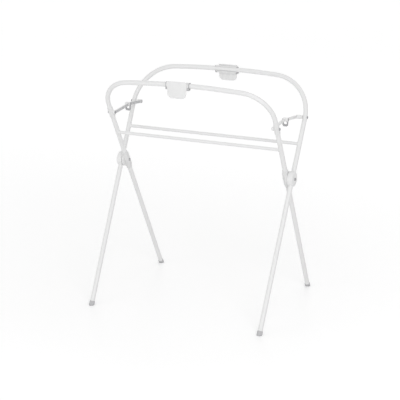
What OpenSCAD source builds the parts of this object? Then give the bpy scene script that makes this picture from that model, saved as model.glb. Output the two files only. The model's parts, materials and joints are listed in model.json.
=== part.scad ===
// Folding stand for a baby bath: two bent steel tube frames that cross at a hub on each side,
// a crossbar in each frame, folding stays that hold the frames open, and a clip on each top bar.
// X runs along the top bars, Y from front to back, Z up. The origin is on the floor,
// under the middle of the hub axis. All sizes are in millimetres.

/* [Stand] */
// Height of the top bars' centre line above the floor
stand_h = 960; // [900:5:1000]
// Height of the hub axis above the floor
hub_h = 570.6; // [540:5:600]
// Angle of each frame from the vertical when the stand is open
frame_angle = 28.2; // [24:0.1:32]
// Distance from the middle of the stand to the inner frame's leg, at the hub
inner_half_w = 370; // [340:5:400]
// Distance from the inner leg's centre line to the outer leg's, at the hub
leg_offset = 24.6; // [24:0.1:28]
// Outward lean of the inner frame's legs, in the plane of the frame
inner_lean = 0.5; // [0:0.1:1]
// Outward lean of the outer frame's legs, in the plane of the frame
outer_lean = 0.8; // [0:0.1:1.2]

/* [Tube] */
// Outer diameter of the frame tube
tube_d = 20; // [18:0.5:22]
// Wall thickness of the frame tube
tube_wall = 1.2; // [0.8:0.1:2]
// Bend radius of the inner frame's upper corners
inner_corner_r = 128; // [100:5:160]
// Bend radius of the outer frame's upper corners
outer_corner_r = 174; // [140:5:200]
// Radius of the inner frame's slightly bowed top bar
inner_bow_r = 2950; // [2500:50:4000]
// Radius of the outer frame's slightly bowed top bar
outer_bow_r = 3730; // [3000:50:5000]

/* [Crossbars] */
// Outer diameter of the crossbars
bar_d = 14; // [12:0.5:16]
// Wall thickness of the crossbars
bar_wall = 1; // [0.8:0.1:2]
// Height of the inner frame's crossbar above the floor
inner_bar_h = 705.7; // [680:5:740]
// Height of the outer frame's crossbar above the floor
outer_bar_h = 702; // [680:5:740]
// Gap left for the weld where a crossbar meets a leg
weld_gap = 0.05; // [0.05:0.05:0.2]

/* [Foot caps] */
// Wall thickness of a foot cap
cap_wall = 1.6; // [1.2:0.1:2.5]
// Length of a foot cap along the leg, from the floor to its rim
cap_len = 17; // [14:1:25]
// Thickness of the foot cap's sole under the tube's end
cap_sole = 3; // [2:0.5:5]
// Clearance between a pushed-on plastic piece and the tube inside it
sleeve_fit = 0.05; // [0.05:0.05:0.2]

/* [Hubs] */
// Diameter of the drum on the outer leg
drum_d = 62; // [56:1:70]
// Rounding of the drum's outer rim
drum_round = 5; // [2:0.5:7]
// Thickness of the drum's wall outside the tube
drum_wall = 1.4; // [1.2:0.1:3]
// Depth of the dish in the drum's outer face
dish = 0.7; // [0.4:0.1:1]
// Diameter of the boss in the middle of the dish
hub_boss_d = 21; // [18:0.5:26]
// Diameter of the inner hub's sleeve round the inner leg
sleeve_d = 30; // [27:0.5:34]
// Length of the inner hub's sleeve along the leg
sleeve_len = 66; // [56:2:80]
// Thickness of the sleeve's wall inside the tube
sleeve_wall = 2; // [1.4:0.1:3]
// Diameter of the thin collars at both ends of the sleeve
collar_d = 23.6; // [23:0.2:26]
// Length from the end of one collar to the end of the other
collar_len = 90; // [84:2:100]
// Diameter of the inner hub's flange, which faces the drum
flange_d = 59; // [50:1:62]
// Thickness of the inner hub's flange
flange_t = 10; // [6:0.5:12]
// Rounding of the flange's inner rim
flange_round = 4; // [2:0.5:5]
// Thickness of the friction washer between the two halves of a hub
washer_t = 1.2; // [0.8:0.1:1.5]
// Diameter of the friction washer
washer_d = 42; // [34:1:48]
// Running gap on each side of the friction washer
washer_gap = 0.25; // [0.2:0.05:0.4]
// Diameter of the pivot bolt's shank
pivot_d = 8; // [6:0.5:10]
// Diameter of the pivot bolt's head
pivot_head_d = 12.6; // [12:0.2:16]
// Height of the pivot bolt's head
pivot_head_h = 4.4; // [3:0.2:6]
// Height of the cap nut on the pivot bolt
pivot_nut_h = 4.2; // [3:0.2:8]
// Clearance round a bolt or pin in its hole, on the radius
pin_fit = 0.08; // [0.05:0.01:0.1]

/* [Stays] */
// Distance of a stay's pivots below the top bars, along either leg
stay_drop = 178.85; // [170:1:190]
// Height of the knuckle above the straight line between the two pivots
knuckle_rise = 12; // [9:0.5:14]
// Thickness of a stay link
link_t = 6.5; // [5:0.5:7]
// Height of a stay link's bar
link_h = 12.5; // [11:0.5:15]
// Diameter of a stay link's eyes
eye_d = 17; // [15:0.5:19]
// Gap between the two links at the knuckle, and beside a clamp or a spacer
link_gap = 0.3; // [0.2:0.05:0.4]
// Depth of the pockets in the sides of a link
pocket_depth = 1.6; // [1:0.1:2]
// Width of the rim left round a pocket
pocket_rim = 2.2; // [1.5:0.1:3]
// Length of the finger paddle below the knuckle
paddle_len = 28; // [20:1:29]
// Thickness of the finger paddle
paddle_t = 7; // [5:0.5:9]
// Width of the half of the finger paddle on each link
paddle_w = 11.7; // [9:0.1:13]
// Diameter of the stay bolts and knuckle pins
stay_pin_d = 6; // [5:0.5:7]
// Diameter of the heads of the stay bolts and knuckle pins
stay_head_d = 12; // [10:0.5:14]
// Height of the heads of the stay bolts and knuckle pins
stay_head_h = 2.4; // [1.5:0.1:3]
// Outer diameter of the clamp sleeve round the inner leg
clamp_d = 24.4; // [23:0.2:28]
// Length of the clamp sleeve
clamp_len = 45; // [35:1:55]
// Diameter of the spacer on the outer leg
spacer_d = 15; // [12:0.5:17]
// Clearance between the spacer and the outer leg, which starts to bend beside it
spacer_fit = 0.6; // [0.5:0.05:0.8]
// Reach of the rear link's boss towards the outer leg, from the inner leg's centre
boss_reach = 6; // [4:0.5:8]

/* [Clips] */
// Length of a clip's jaw along the top bar
jaw_len = 103; // [90:1:120]
// Wall thickness of a clip's jaw
jaw_wall = 2.4; // [2:0.1:3.5]
// Clearance between a clip's jaw and the slightly bowed bar inside it
jaw_fit = 1; // [0.9:0.05:1.2]
// Depth of the jaw's keel below the bar's centre
keel_depth = 18; // [16:0.5:22]
// Width of the jaw's keel
keel_w = 9; // [6:0.5:12]
// Half of the angle of the jaw's mouth, which faces the middle of the stand
mouth_angle = 55; // [45:1:65]
// Diameter of the round bead along each lip of the jaw
lip_d = 3.4; // [3:0.1:5]
// How far a lip's bead stands into the jaw
lip_bead = 0.25; // [0.2:0.05:0.5]
// Width of a clip's plate at its top
plate_top_w = 88; // [84:1:98]
// Width of a clip's plate at its bottom
plate_bottom_w = 78; // [60:1:84]
// Height of the plate's top edge above the bar's centre
plate_rise = 17; // [12:1:22]
// Depth of the plate's bottom edge below the bar's centre
plate_drop = 52; // [40:1:60]
// Thickness of a clip's plate
plate_t = 3; // [2:0.2:4]
// Radius of the plate's lower corners
plate_corner_r = 20; // [10:1:25]
// Number of upright ribs on the plate's inner face
rib_count = 4; // [2:1:5]
// Distance between the ribs
rib_pitch = 16; // [10:1:18]
// Width of a rib
rib_w = 1.6; // [1:0.1:2.5]
// Height of a rib above the plate
rib_h = 1.6; // [0.5:0.1:2.5]
// Gap left between a rib and the keel above it, and the plate's edge below it
rib_end_gap = 3; // [2:0.5:5]
// Distance of the front clip from the middle of its bar, to the left
front_clip_x = 17; // [0:1:40]
// Distance of the rear clip from the middle of its bar, to the right
rear_clip_x = 7; // [0:1:40]

/* [Hidden] */

round_steps = 64;                // steps to a full circle of anything that has no count of its own
corner_steps = 96;               // steps to a full circle of a tube's bent corner
bow_steps = 1440;                // steps to a full circle of a top bar's wide bow
dome_steps = 180;                // steps to a full circle of a bolt head's shallow dome
$fn = round_steps;
RIGHT = 1;
LEFT = -1;
INNER = -1;                      // the frame whose top bar is in front
OUTER = 1;
WHITE = [0.93, 0.93, 0.93];
HUB_WHITE = [0.86, 0.86, 0.86];
HUB_GREY = [0.72, 0.72, 0.72];
CLAMP_WHITE = [0.9, 0.9, 0.9];
CLIP_WHITE = [0.89, 0.89, 0.89];
GREY = [0.68, 0.68, 0.69];
DARK_GREY = [0.5, 0.5, 0.51];
FOOT_GREY = [0.62, 0.62, 0.63];

tube_r = tube_d / 2;
bore_r = tube_r - tube_wall;
sleeve_bore_r = tube_r + sleeve_fit;
pin_hole = 2 * pin_fit;
over = 1;                        // how far a cut runs past the face that it opens
seam_skin = 0.15;                // how far a seam ring stands out from the tube's wall
seam_len = 1.2;                  // length of a seam ring along the tube
face_step = 0.02;                // step that keeps two faces out of one plane
head_gap = 0.1;                  // gap under a head or nut, which the legs' lean takes up
slope = 1 / cos(frame_angle);    // length along a frame for each unit of height
outer_half_w = inner_half_w + leg_offset;
top_s = (stand_h - hub_h) * slope;
stay_pivot_s = top_s - stay_drop;

// Where the halves of a hub lie along the hub axis
hub_mid_x = (inner_half_w + outer_half_w) / 2;
inner_face_x = hub_mid_x - washer_t / 2 - washer_gap;
outer_face_x = hub_mid_x + washer_t / 2 + washer_gap;
drum_out_x = outer_half_w + tube_r + drum_wall;
sleeve_in_x = inner_half_w - tube_r - sleeve_wall;

// Where the stays lie: distances along the legs, and planes across the stand
stay_leg_x = inner_half_w + stay_pivot_s * tan(inner_lean);
rear_leg_x = outer_half_w + stay_pivot_s * tan(outer_lean);
clamp_face_x = stay_leg_x - clamp_d / 2;
front_link_x = clamp_face_x - link_gap - link_t;
rear_link_x = front_link_x + link_t + link_gap;
front_paddle_x = front_link_x + link_t - paddle_w - face_step;
boss_end_x = stay_leg_x + boss_reach;
spacer_end_x = rear_leg_x - tube_r - spacer_fit;

// The stay's pivots and knuckle, seen from the side as [y, z]
pivot_h = hub_h + stay_pivot_s * cos(frame_angle);
half_span = stay_pivot_s * sin(frame_angle);
front_pivot = [-half_span, pivot_h];
rear_pivot = [half_span, pivot_h];
knuckle = [0, pivot_h + knuckle_rise];
link_len = norm([half_span, knuckle_rise]);
link_angle = atan2(knuckle_rise, half_span);

// Centre of an upper corner's bend, as [x, distance up the frame], and the angle at which
// it runs into the bowed top bar
function corner_centre(half_w, lean, corner_r, bow_r) =
    let (up = [sin(lean), cos(lean)],
         start = [half_w - corner_r * cos(lean), corner_r * sin(lean)],
         to_start = start - [0, top_s - bow_r],
         b = to_start * up,
         c = to_start * to_start - pow(bow_r - corner_r, 2))
    start + up * (sqrt(b * b - c) - b);

function bow_start_angle(centre, bow_r) = atan2(centre[1] - top_s + bow_r, centre[0]);

function leg_floor_s(lean) = -hub_h * slope / cos(lean);

// Stands children in the plane of the inner frame (which = INNER) or the outer frame (OUTER)
module in_frame_plane(which) {
    translate([0, 0, hub_h])
        rotate([-which * frame_angle, 0, 0])
            children();
}

// Puts the Z axis along a leg of a frame, with the origin level with the hub axis
module on_leg(which, side) {
    half_w = which == INNER ? inner_half_w : outer_half_w;
    lean = which == INNER ? inner_lean : outer_lean;
    in_frame_plane(which)
        mirror([side == LEFT ? 1 : 0, 0, 0])
            translate([half_w, 0, 0])
                rotate([0, lean, 0])
                    children();
}

// Builds children for the right side, or mirrored for the left
module on_side(side) {
    mirror([side == LEFT ? 1 : 0, 0, 0])
        children();
}

// A cylinder along X from x0 to x1, centred on yz = [y, z]
module x_cylinder(x0, x1, d, yz) {
    translate([x0, yz[0], yz[1]])
        rotate([0, 90, 0])
            cylinder(h = x1 - x0, d = d);
}

module tube_section() {
    difference() {
        circle(r = tube_r);
        circle(r = bore_r);
    }
}

// One bent tube: two straight legs, two round corners and a slightly bowed top bar.
// Each half starts at the middle of the top bar, and each stretch where the last one ends.
module bent_tube(half_w, lean, corner_r, bow_r) {
    centre = corner_centre(half_w, lean, corner_r, bow_r);
    bow_turn = 90 - bow_start_angle(centre, bow_r);
    corner_turn = 90 + lean - bow_turn;
    low_s = leg_floor_s(lean) + tube_r * tan(frame_angle) + cap_sole;
    leg_end = [centre[0] + corner_r * cos(lean), centre[1] - corner_r * sin(lean)];
    leg_len = norm(leg_end - [half_w, 0]) - low_s;
    translate([0, 0, top_s])
        for (side = [LEFT, RIGHT])
            mirror([side == LEFT ? 0 : 1, 0, 0])
                rotate([90, 0, 0])
                    translate([0, -bow_r, 0]) {
                        rotate(90)
                            tube_bend(bow_r, bow_turn, bow_steps);
                        rotate(90 + bow_turn)
                            translate([bow_r - corner_r, 0, 0]) {
                                tube_bend(corner_r, corner_turn, corner_steps);
                                rotate(corner_turn)
                                    translate([corner_r, 0, 0])
                                        rotate([-90, 0, 0]) {
                                            seam_ring();
                                            linear_extrude(leg_len)
                                                tube_section();
                                        }
                            }
                    }
}

// A stretch of tube bent round the origin, from the X axis through the angle turn,
// in that many steps to a full circle
module tube_bend(r, turn, steps) {
    translate([r, 0, 0])
        rotate([90, 0, 0])
            seam_ring();
    rotate_extrude(angle = turn, $fn = steps)
        translate([r, 0])
            tube_section($fn = round_steps);
}

// A ring a hair thicker than the tube's wall, over the seam between two stretches of it
module seam_ring() {
    translate([0, 0, -seam_len / 2])
        difference() {
            cylinder(h = seam_len, r = tube_r + seam_skin);
            translate([0, 0, -over])
                cylinder(h = seam_len + 2 * over, r = bore_r - seam_skin);
        }
}

module pivot_hole(side) {
    on_side(side)
        x_cylinder(sleeve_in_x - over, drum_out_x + over, pivot_d + pin_hole, [0, hub_h]);
}

module inner_frame_tube() {
    color(WHITE)
        difference() {
            in_frame_plane(INNER)
                bent_tube(inner_half_w, inner_lean, inner_corner_r, inner_bow_r);
            for (side = [LEFT, RIGHT]) {
                pivot_hole(side);
                on_side(side)
                    x_cylinder(stay_leg_x - tube_d, stay_leg_x + tube_d,
                               stay_pin_d + pin_hole, front_pivot);
            }
        }
}

module outer_frame_tube() {
    color(WHITE)
        difference() {
            in_frame_plane(OUTER)
                bent_tube(outer_half_w, outer_lean, outer_corner_r, outer_bow_r);
            for (side = [LEFT, RIGHT]) {
                pivot_hole(side);
                on_side(side)
                    x_cylinder(rear_leg_x - tube_d, rear_leg_x + tube_d,
                               stay_pin_d + pin_hole, rear_pivot);
            }
        }
}

// A crossbar across one frame, its ends coped to fit against the legs
module crossbar(which, bar_h) {
    s = (bar_h - hub_h) * slope;
    half_w = which == INNER ? inner_half_w : outer_half_w;
    color(WHITE)
        difference() {
            in_frame_plane(which)
                translate([-half_w, 0, s])
                    rotate([0, 90, 0])
                        difference() {
                            cylinder(h = 2 * half_w, d = bar_d);
                            translate([0, 0, -over])
                                cylinder(h = 2 * (half_w + over), d = bar_d - 2 * bar_wall);
                        }
            for (side = [LEFT, RIGHT])
                on_leg(which, side)
                    translate([0, 0, s - bar_d])
                        cylinder(h = 2 * bar_d, r = tube_r + weld_gap);
        }
}

// A plastic cap on a leg's end, cut flat where it stands on the floor
module foot_cap(which, side) {
    floor_s = leg_floor_s(which == INNER ? inner_lean : outer_lean);
    cap_r = sleeve_bore_r + cap_wall;
    rim = cap_wall / 2;
    below = cap_r * tan(frame_angle) + over;
    tube_end = tube_r * tan(frame_angle) + cap_sole;
    color(FOOT_GREY)
        difference() {
            on_leg(which, side)
                translate([0, 0, floor_s])
                    difference() {
                        rotate_extrude()
                            polygon([[0, -below], [cap_r, -below], [cap_r, cap_len - rim],
                                     [cap_r - rim, cap_len], [0, cap_len]]);
                        translate([0, 0, tube_end])
                            cylinder(h = cap_len, r = sleeve_bore_r);
                    }
            translate([-2 * outer_half_w, -stand_h, -4 * cap_len])
                cube([4 * outer_half_w, 2 * stand_h, 4 * cap_len]);
        }
}

// The tube of one leg as a solid, to be cut out of what is pushed on it
module leg_space(which, side, s, len) {
    on_leg(which, side)
        translate([0, 0, s - len / 2])
            cylinder(h = len, r = sleeve_bore_r);
}

// The half of a hub on the inner leg: a stout sleeve with thin collars, and a round flange
// that faces the drum
module inner_hub(side) {
    color(HUB_GREY)
        difference() {
            union() {
                intersection() {
                    on_leg(INNER, side)
                        rotate_extrude()
                            sleeve_profile();
                    on_side(side)
                        translate([sleeve_in_x, -collar_len, hub_h - collar_len])
                            cube([inner_face_x - sleeve_in_x, 2 * collar_len, 2 * collar_len]);
                }
                on_side(side)
                    translate([inner_face_x, 0, hub_h])
                        rotate([0, -90, 0])
                            rotate_extrude()
                                drum_profile(flange_d / 2, flange_t, flange_round);
            }
            leg_space(INNER, side, 0, 2 * collar_len);
            pivot_hole(side);
        }
}

module sleeve_profile() {
    rounded_half(sleeve_d / 2, sleeve_len, sleeve_wall);
    rounded_half(collar_d / 2, collar_len, (collar_d / 2 - tube_r) / 2);
}

// Right half of a rectangle centred on the origin, with its outer corners rounded
module rounded_half(r, len, corner) {
    translate([0, -len / 2])
        union() {
            square([r - corner, len]);
            translate([0, corner])
                square([r, len - 2 * corner]);
            for (y = [corner, len - corner])
                translate([r - corner, y])
                    circle(corner);
        }
}

// The half of a hub on the outer leg: a round drum with a dished face and a centre boss
module outer_hub(side) {
    depth = drum_out_x - outer_face_x;
    color(HUB_WHITE)
        difference() {
            on_side(side)
                translate([outer_face_x, 0, hub_h])
                    rotate([0, 90, 0])
                        rotate_extrude()
                            difference() {
                                drum_profile(drum_d / 2, depth, drum_round);
                                translate([hub_boss_d / 2, depth - dish])
                                    square([drum_d / 2 - drum_round - hub_boss_d / 2, dish + over]);
                            }
            leg_space(OUTER, side, 0, 2 * drum_d);
            pivot_hole(side);
        }
}

// Half of a drum's section: a rectangle with its far outer corner rounded
module drum_profile(r, depth, corner) {
    square([r, depth - corner]);
    square([r - corner, depth]);
    translate([r - corner, depth - corner])
        intersection() {
            circle(corner);
            square(corner);
        }
}

module hub_washers() {
    color(DARK_GREY)
        for (side = [LEFT, RIGHT])
            on_side(side)
                difference() {
                    x_cylinder(hub_mid_x - washer_t / 2, hub_mid_x + washer_t / 2,
                               washer_d, [0, hub_h]);
                    x_cylinder(hub_mid_x - washer_t, hub_mid_x + washer_t,
                               pivot_d + pin_hole, [0, hub_h]);
                }
}

// A low domed head on the end of a shank, standing on the plane x = 0 and growing to +X
module domed_head(d, h) {
    rise = h / 3;
    dome_r = (pow(d / 2, 2) + rise * rise) / (2 * rise);
    rotate([0, 90, 0])
        intersection() {
            cylinder(h = h, d = d);
            translate([0, 0, h - dome_r])
                sphere(r = dome_r, $fn = dome_steps);
        }
}

module pivot_bolts() {
    head_x = drum_out_x + pin_fit;
    color(DARK_GREY)
        for (side = [LEFT, RIGHT])
            on_side(side)
                union() {
                    x_cylinder(sleeve_in_x, head_x + pivot_head_h / 2, pivot_d, [0, hub_h]);
                    translate([head_x, 0, hub_h])
                        domed_head(pivot_head_d, pivot_head_h);
                }
}

module pivot_nuts() {
    color(DARK_GREY)
        for (side = [LEFT, RIGHT])
            on_side(side)
                translate([sleeve_in_x, 0, hub_h])
                    mirror([1, 0, 0])
                        domed_head(pivot_head_d, pivot_nut_h);
}

// The sleeve that the front link turns on, with a flat pad round its bolt
module stay_clamp(side) {
    pad_d = eye_d;
    end_round = (clamp_d / 2 - tube_r) / 2;
    color(CLAMP_WHITE)
        difference() {
            union() {
                on_leg(INNER, side)
                    translate([0, 0, stay_pivot_s])
                        rotate_extrude()
                            rounded_half(clamp_d / 2, clamp_len, end_round);
                on_side(side)
                    x_cylinder(clamp_face_x, stay_leg_x, pad_d, front_pivot);
            }
            leg_space(INNER, side, stay_pivot_s, 2 * clamp_len);
            on_side(side)
                x_cylinder(stay_leg_x - clamp_d, stay_leg_x + clamp_d,
                           stay_pin_d + pin_hole, front_pivot);
        }
}

module front_stay_bolts() {
    head_x = front_link_x - link_gap;
    color(DARK_GREY)
        for (side = [LEFT, RIGHT])
            on_side(side)
                union() {
                    x_cylinder(head_x - stay_head_h / 2, stay_leg_x + clamp_d / 2 + stay_head_h,
                               stay_pin_d, front_pivot);
                    translate([head_x, front_pivot[0], front_pivot[1]])
                        mirror([1, 0, 0])
                            domed_head(stay_head_d, stay_head_h);
                }
}

module front_stay_nuts() {
    nut_h = stay_head_h - head_gap;
    nut_x = stay_leg_x + clamp_d / 2 + head_gap;
    color(DARK_GREY)
        for (side = [LEFT, RIGHT])
            on_side(side)
                difference() {
                    x_cylinder(nut_x, nut_x + nut_h, stay_head_d, front_pivot);
                    x_cylinder(nut_x - over, nut_x + nut_h + over,
                               stay_pin_d + pin_hole, front_pivot);
                }
}

module rear_stay_bolts() {
    head_x = rear_leg_x + tube_r + head_gap;
    color(DARK_GREY)
        for (side = [LEFT, RIGHT])
            on_side(side)
                union() {
                    x_cylinder(boss_end_x + link_gap, head_x + stay_head_h / 2,
                               stay_pin_d, rear_pivot);
                    translate([head_x, rear_pivot[0], rear_pivot[1]])
                        domed_head(stay_head_d, stay_head_h);
                }
}

// The collar between the outer leg and the rear link's boss
module stay_spacer(side) {
    color(GREY)
        on_side(side)
            difference() {
                x_cylinder(boss_end_x + link_gap, spacer_end_x, spacer_d, rear_pivot);
                x_cylinder(boss_end_x, rear_leg_x, stay_pin_d + pin_hole, rear_pivot);
            }
}

// A link from the side, from its own pivot at the origin along +X, with a round end of
// diameter end_d at its pivot
module link_outline(end_d) {
    circle(d = end_d);
    translate([link_len, 0])
        circle(d = link_h);
    translate([0, -link_h / 2])
        square([link_len, link_h]);
}

module link_pocket() {
    pocket_h = link_h - 2 * pocket_rim;
    start = eye_d / 2 + pocket_h / 2;
    for (x = [start, link_len - start])
        translate([x, 0])
            circle(d = pocket_h);
    translate([start, -pocket_h / 2])
        square([link_len - 2 * start, pocket_h]);
}

// A link in its plane: x0 is its inboard face, at = [y, z] is its pivot, turned by angle
module link_place(x0, at, angle) {
    translate([x0, at[0], at[1]])
        rotate([angle, 0, 0])
            rotate([90, 0, 90])
                children();
}

module link_bar(end_d) {
    difference() {
        linear_extrude(link_t)
            link_outline(end_d);
        translate([0, 0, -over])
            linear_extrude(pocket_depth + over)
                link_pocket();
        translate([0, 0, link_t - pocket_depth])
            linear_extrude(pocket_depth + over)
                link_pocket();
    }
}

// Half of the finger paddle, hanging below the knuckle across [x0, x0 + paddle_w]
module half_paddle(x0) {
    translate([x0, knuckle[0], knuckle[1]])
        rotate([90, 0, 90])
            linear_extrude(paddle_w)
                union() {
                    translate([-paddle_t / 2, -paddle_len + paddle_t / 2])
                        square([paddle_t, paddle_len - paddle_t / 2]);
                    translate([0, -paddle_len + paddle_t / 2])
                        circle(d = paddle_t);
                    circle(d = eye_d);
                }
}

// The holes for a link's bolt, at its pivot, and for the knuckle pin
module link_holes(pivot) {
    for (at = [pivot, knuckle])
        x_cylinder(front_link_x - paddle_w, boss_end_x + over, stay_pin_d + pin_hole, at);
}

module front_link(side) {
    color(GREY)
        on_side(side)
            difference() {
                union() {
                    link_place(front_link_x, front_pivot, link_angle)
                        link_bar(eye_d);
                    half_paddle(front_paddle_x);
                }
                link_holes(front_pivot);
            }
}

module rear_link(side) {
    color(GREY)
        on_side(side)
            difference() {
                union() {
                    link_place(rear_link_x, rear_pivot, 180 - link_angle)
                        link_bar(link_h);
                    half_paddle(rear_link_x);
                    x_cylinder(rear_link_x, boss_end_x, eye_d, rear_pivot);
                }
                link_holes(rear_pivot);
            }
}

module knuckle_pin(side) {
    low_x = front_paddle_x;
    high_x = rear_link_x + paddle_w + pin_fit;
    color(DARK_GREY)
        on_side(side)
            union() {
                x_cylinder(low_x - stay_head_h / 2, high_x + stay_head_h / 2, stay_pin_d, knuckle);
                translate([low_x, knuckle[0], knuckle[1]])
                    mirror([1, 0, 0])
                        domed_head(stay_head_d, stay_head_h);
                translate([high_x, knuckle[0], knuckle[1]])
                    domed_head(stay_head_d, stay_head_h);
            }
}

// Stands a clip on its bar: the inner frame has the front bar, the outer frame the rear.
// Children have +Y away from the middle of the stand and Z = 0 at the bar's centre.
module on_bar(which) {
    bow_r = which == INNER ? inner_bow_r : outer_bow_r;
    x = which == INNER ? -front_clip_x : rear_clip_x;
    drop = (x * x + pow(jaw_len / 2, 2) / 2) / (2 * bow_r);
    in_frame_plane(which)
        translate([x, 0, top_s - drop])
            rotate([which * frame_angle, 0, 0])
                mirror([0, which == INNER ? 1 : 0, 0])
                    children();
}

jaw_in_r = tube_r + jaw_fit;
jaw_out_r = jaw_in_r + jaw_wall;
lip_r = lip_d / 2;

// The jaw's section: a C round the bar that opens inwards, with a keel below
module jaw_section() {
    reach = 2 * jaw_out_r;
    lip_at = jaw_in_r + lip_r - lip_bead;
    difference() {
        union() {
            circle(r = jaw_out_r);
            translate([0, -keel_depth])
                square([jaw_out_r, keel_depth]);
            translate([-keel_w / 2, -keel_depth])
                square([keel_w, keel_depth]);
        }
        circle(r = jaw_in_r);
        polygon([[0, 0], reach * [-cos(mouth_angle), sin(mouth_angle)], [-2 * reach, 0],
                 reach * [-cos(mouth_angle), -sin(mouth_angle)]]);
    }
    for (s = [-1, 1])
        translate(lip_at * [-cos(mouth_angle), s * sin(mouth_angle)])
            circle(r = lip_r);
}

module clip_jaw(which) {
    color(GREY)
        on_bar(which)
            translate([-jaw_len / 2, 0, 0])
                rotate([90, 0, 90])
                    linear_extrude(jaw_len)
                        jaw_section();
}

// Where a line from the point p touches the circle round c, on its left seen from p
function touch_point(p, c, r) =
    let (d = p - c, angle = atan2(d[1], d[0]) + acos(r / norm(d)))
    c + r * [cos(angle), sin(angle)];

// The plate's outline as [x, z]: straight sloping sides and two round lower corners
module plate_outline() {
    half_top = plate_top_w / 2;
    corner_x = plate_bottom_w / 2 - plate_corner_r;
    corner = [-corner_x, -plate_drop + plate_corner_r];
    touch = touch_point([-half_top, plate_rise], corner, plate_corner_r);
    union() {
        polygon([[-half_top, plate_rise], touch, corner, [-corner_x, -plate_drop],
                 [corner_x, -plate_drop], [corner_x, corner[1]], [-touch[0], touch[1]],
                 [half_top, plate_rise]]);
        for (s = [-1, 1])
            translate([s * corner_x, corner[1]])
                circle(r = plate_corner_r);
    }
}

module clip_plate(which) {
    color(CLIP_WHITE)
        on_bar(which)
            translate([0, jaw_out_r + plate_t, 0])
                rotate([90, 0, 0])
                    union() {
                        linear_extrude(plate_t)
                            plate_outline();
                        plate_ribs();
                    }
}

// The ribs stand on the plate's inner face, below the jaw's keel
module plate_ribs() {
    low = -plate_drop + rib_end_gap;
    high = -keel_depth - rib_end_gap;
    translate([0, 0, plate_t / 2])
        linear_extrude(plate_t / 2 + rib_h)
            intersection() {
                plate_outline();
                for (i = [0 : rib_count - 1])
                    translate([(i - (rib_count - 1) / 2) * rib_pitch - rib_w / 2, low])
                        square([rib_w, high - low]);
            }
}

inner_frame_tube();
crossbar(INNER, inner_bar_h);  // inner_crossbar
foot_cap(INNER, LEFT);  // inner_foot_left
foot_cap(INNER, RIGHT);  // inner_foot_right
inner_hub(LEFT);  // inner_hub_left
inner_hub(RIGHT);  // inner_hub_right
hub_washers();
pivot_bolts();
pivot_nuts();
stay_clamp(LEFT);  // stay_clamp_left
stay_clamp(RIGHT);  // stay_clamp_right
front_stay_bolts();
front_stay_nuts();
outer_frame_tube();
crossbar(OUTER, outer_bar_h);  // outer_crossbar
foot_cap(OUTER, LEFT);  // outer_foot_left
foot_cap(OUTER, RIGHT);  // outer_foot_right
outer_hub(LEFT);  // outer_hub_left
outer_hub(RIGHT);  // outer_hub_right
stay_spacer(LEFT);  // stay_spacer_left
stay_spacer(RIGHT);  // stay_spacer_right
rear_stay_bolts();
front_link(LEFT);  // front_link_left
front_link(RIGHT);  // front_link_right
rear_link(LEFT);  // rear_link_left
rear_link(RIGHT);  // rear_link_right
knuckle_pin(LEFT);  // knuckle_pin_left
knuckle_pin(RIGHT);  // knuckle_pin_right
clip_plate(INNER);  // front_clip_plate
clip_jaw(INNER);  // front_clip_jaw
clip_plate(OUTER);  // rear_clip_plate
clip_jaw(OUTER);  // rear_clip_jaw
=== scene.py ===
"""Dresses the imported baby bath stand: bent tubes with welds, moulded hubs, stays, clips and caps.

Lengths in the classes are millimetres in the part's own frame: X along the top bars, Y from front
to back, Z up from the floor. A finished mesh is scaled to metres as it becomes an object.
"""

from __future__ import annotations

import json
import logging
import math
from dataclasses import dataclass
from enum import Enum

import bmesh
import bpy
from mathutils import Matrix, Vector

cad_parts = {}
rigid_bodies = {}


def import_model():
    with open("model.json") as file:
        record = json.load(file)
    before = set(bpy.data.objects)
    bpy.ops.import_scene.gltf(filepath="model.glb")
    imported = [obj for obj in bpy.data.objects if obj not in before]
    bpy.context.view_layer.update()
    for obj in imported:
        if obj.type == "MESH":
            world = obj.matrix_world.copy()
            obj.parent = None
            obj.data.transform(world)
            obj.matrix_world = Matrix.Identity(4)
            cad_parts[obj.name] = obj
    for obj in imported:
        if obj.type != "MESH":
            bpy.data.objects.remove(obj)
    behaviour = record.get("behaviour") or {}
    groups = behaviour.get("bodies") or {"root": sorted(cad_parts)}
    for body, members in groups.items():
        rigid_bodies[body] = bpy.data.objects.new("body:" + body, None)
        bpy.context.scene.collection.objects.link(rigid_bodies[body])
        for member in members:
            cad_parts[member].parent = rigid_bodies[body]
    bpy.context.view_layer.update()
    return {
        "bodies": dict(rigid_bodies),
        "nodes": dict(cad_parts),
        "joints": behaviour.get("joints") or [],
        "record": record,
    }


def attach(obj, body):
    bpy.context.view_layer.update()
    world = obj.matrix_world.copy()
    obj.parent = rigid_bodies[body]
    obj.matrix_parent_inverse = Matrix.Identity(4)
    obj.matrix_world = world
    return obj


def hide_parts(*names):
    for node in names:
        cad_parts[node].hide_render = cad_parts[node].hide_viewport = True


Point = tuple[float, float, float]
# A rounding's length along its edges, and the segments in it
Rounding = tuple[float, int]

LOG = logging.getLogger("bath_stand")
MM = 0.001
# Past this angle an edge stays crisp
CRISP = math.radians(38)
# Past this angle an edge of a moulding is rounded
SHARP = math.radians(40)
# A face takes the painted shade of a moulding's back where its normal leans this far inboard
SHADED_BACK_LIMIT = 0.7
# The places of a link's other finishes in its list: the painted shade of its back, and its loop
SHADED_BACK_PLACE, LOOP_PLACE = 1, 2
# A rounding stays this much short of the next corner
SHY = 0.1
# Lengths that differ by less than this are the same
SAME = 0.01
# Vertices closer than this become one, and an edge shorter than the other goes
MERGE_DIST, LEAST_EDGE = 1e-3, 1e-4
# Steps in a full turn of a small round piece, and segments in a boss's rims
ROUND_STEPS, RIM_SEGMENTS = 48, 4
# Turns what stands along Z so that it lies along X
LAID_DOWN = Matrix.Rotation(math.pi / 2, 4, "Y")
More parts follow.
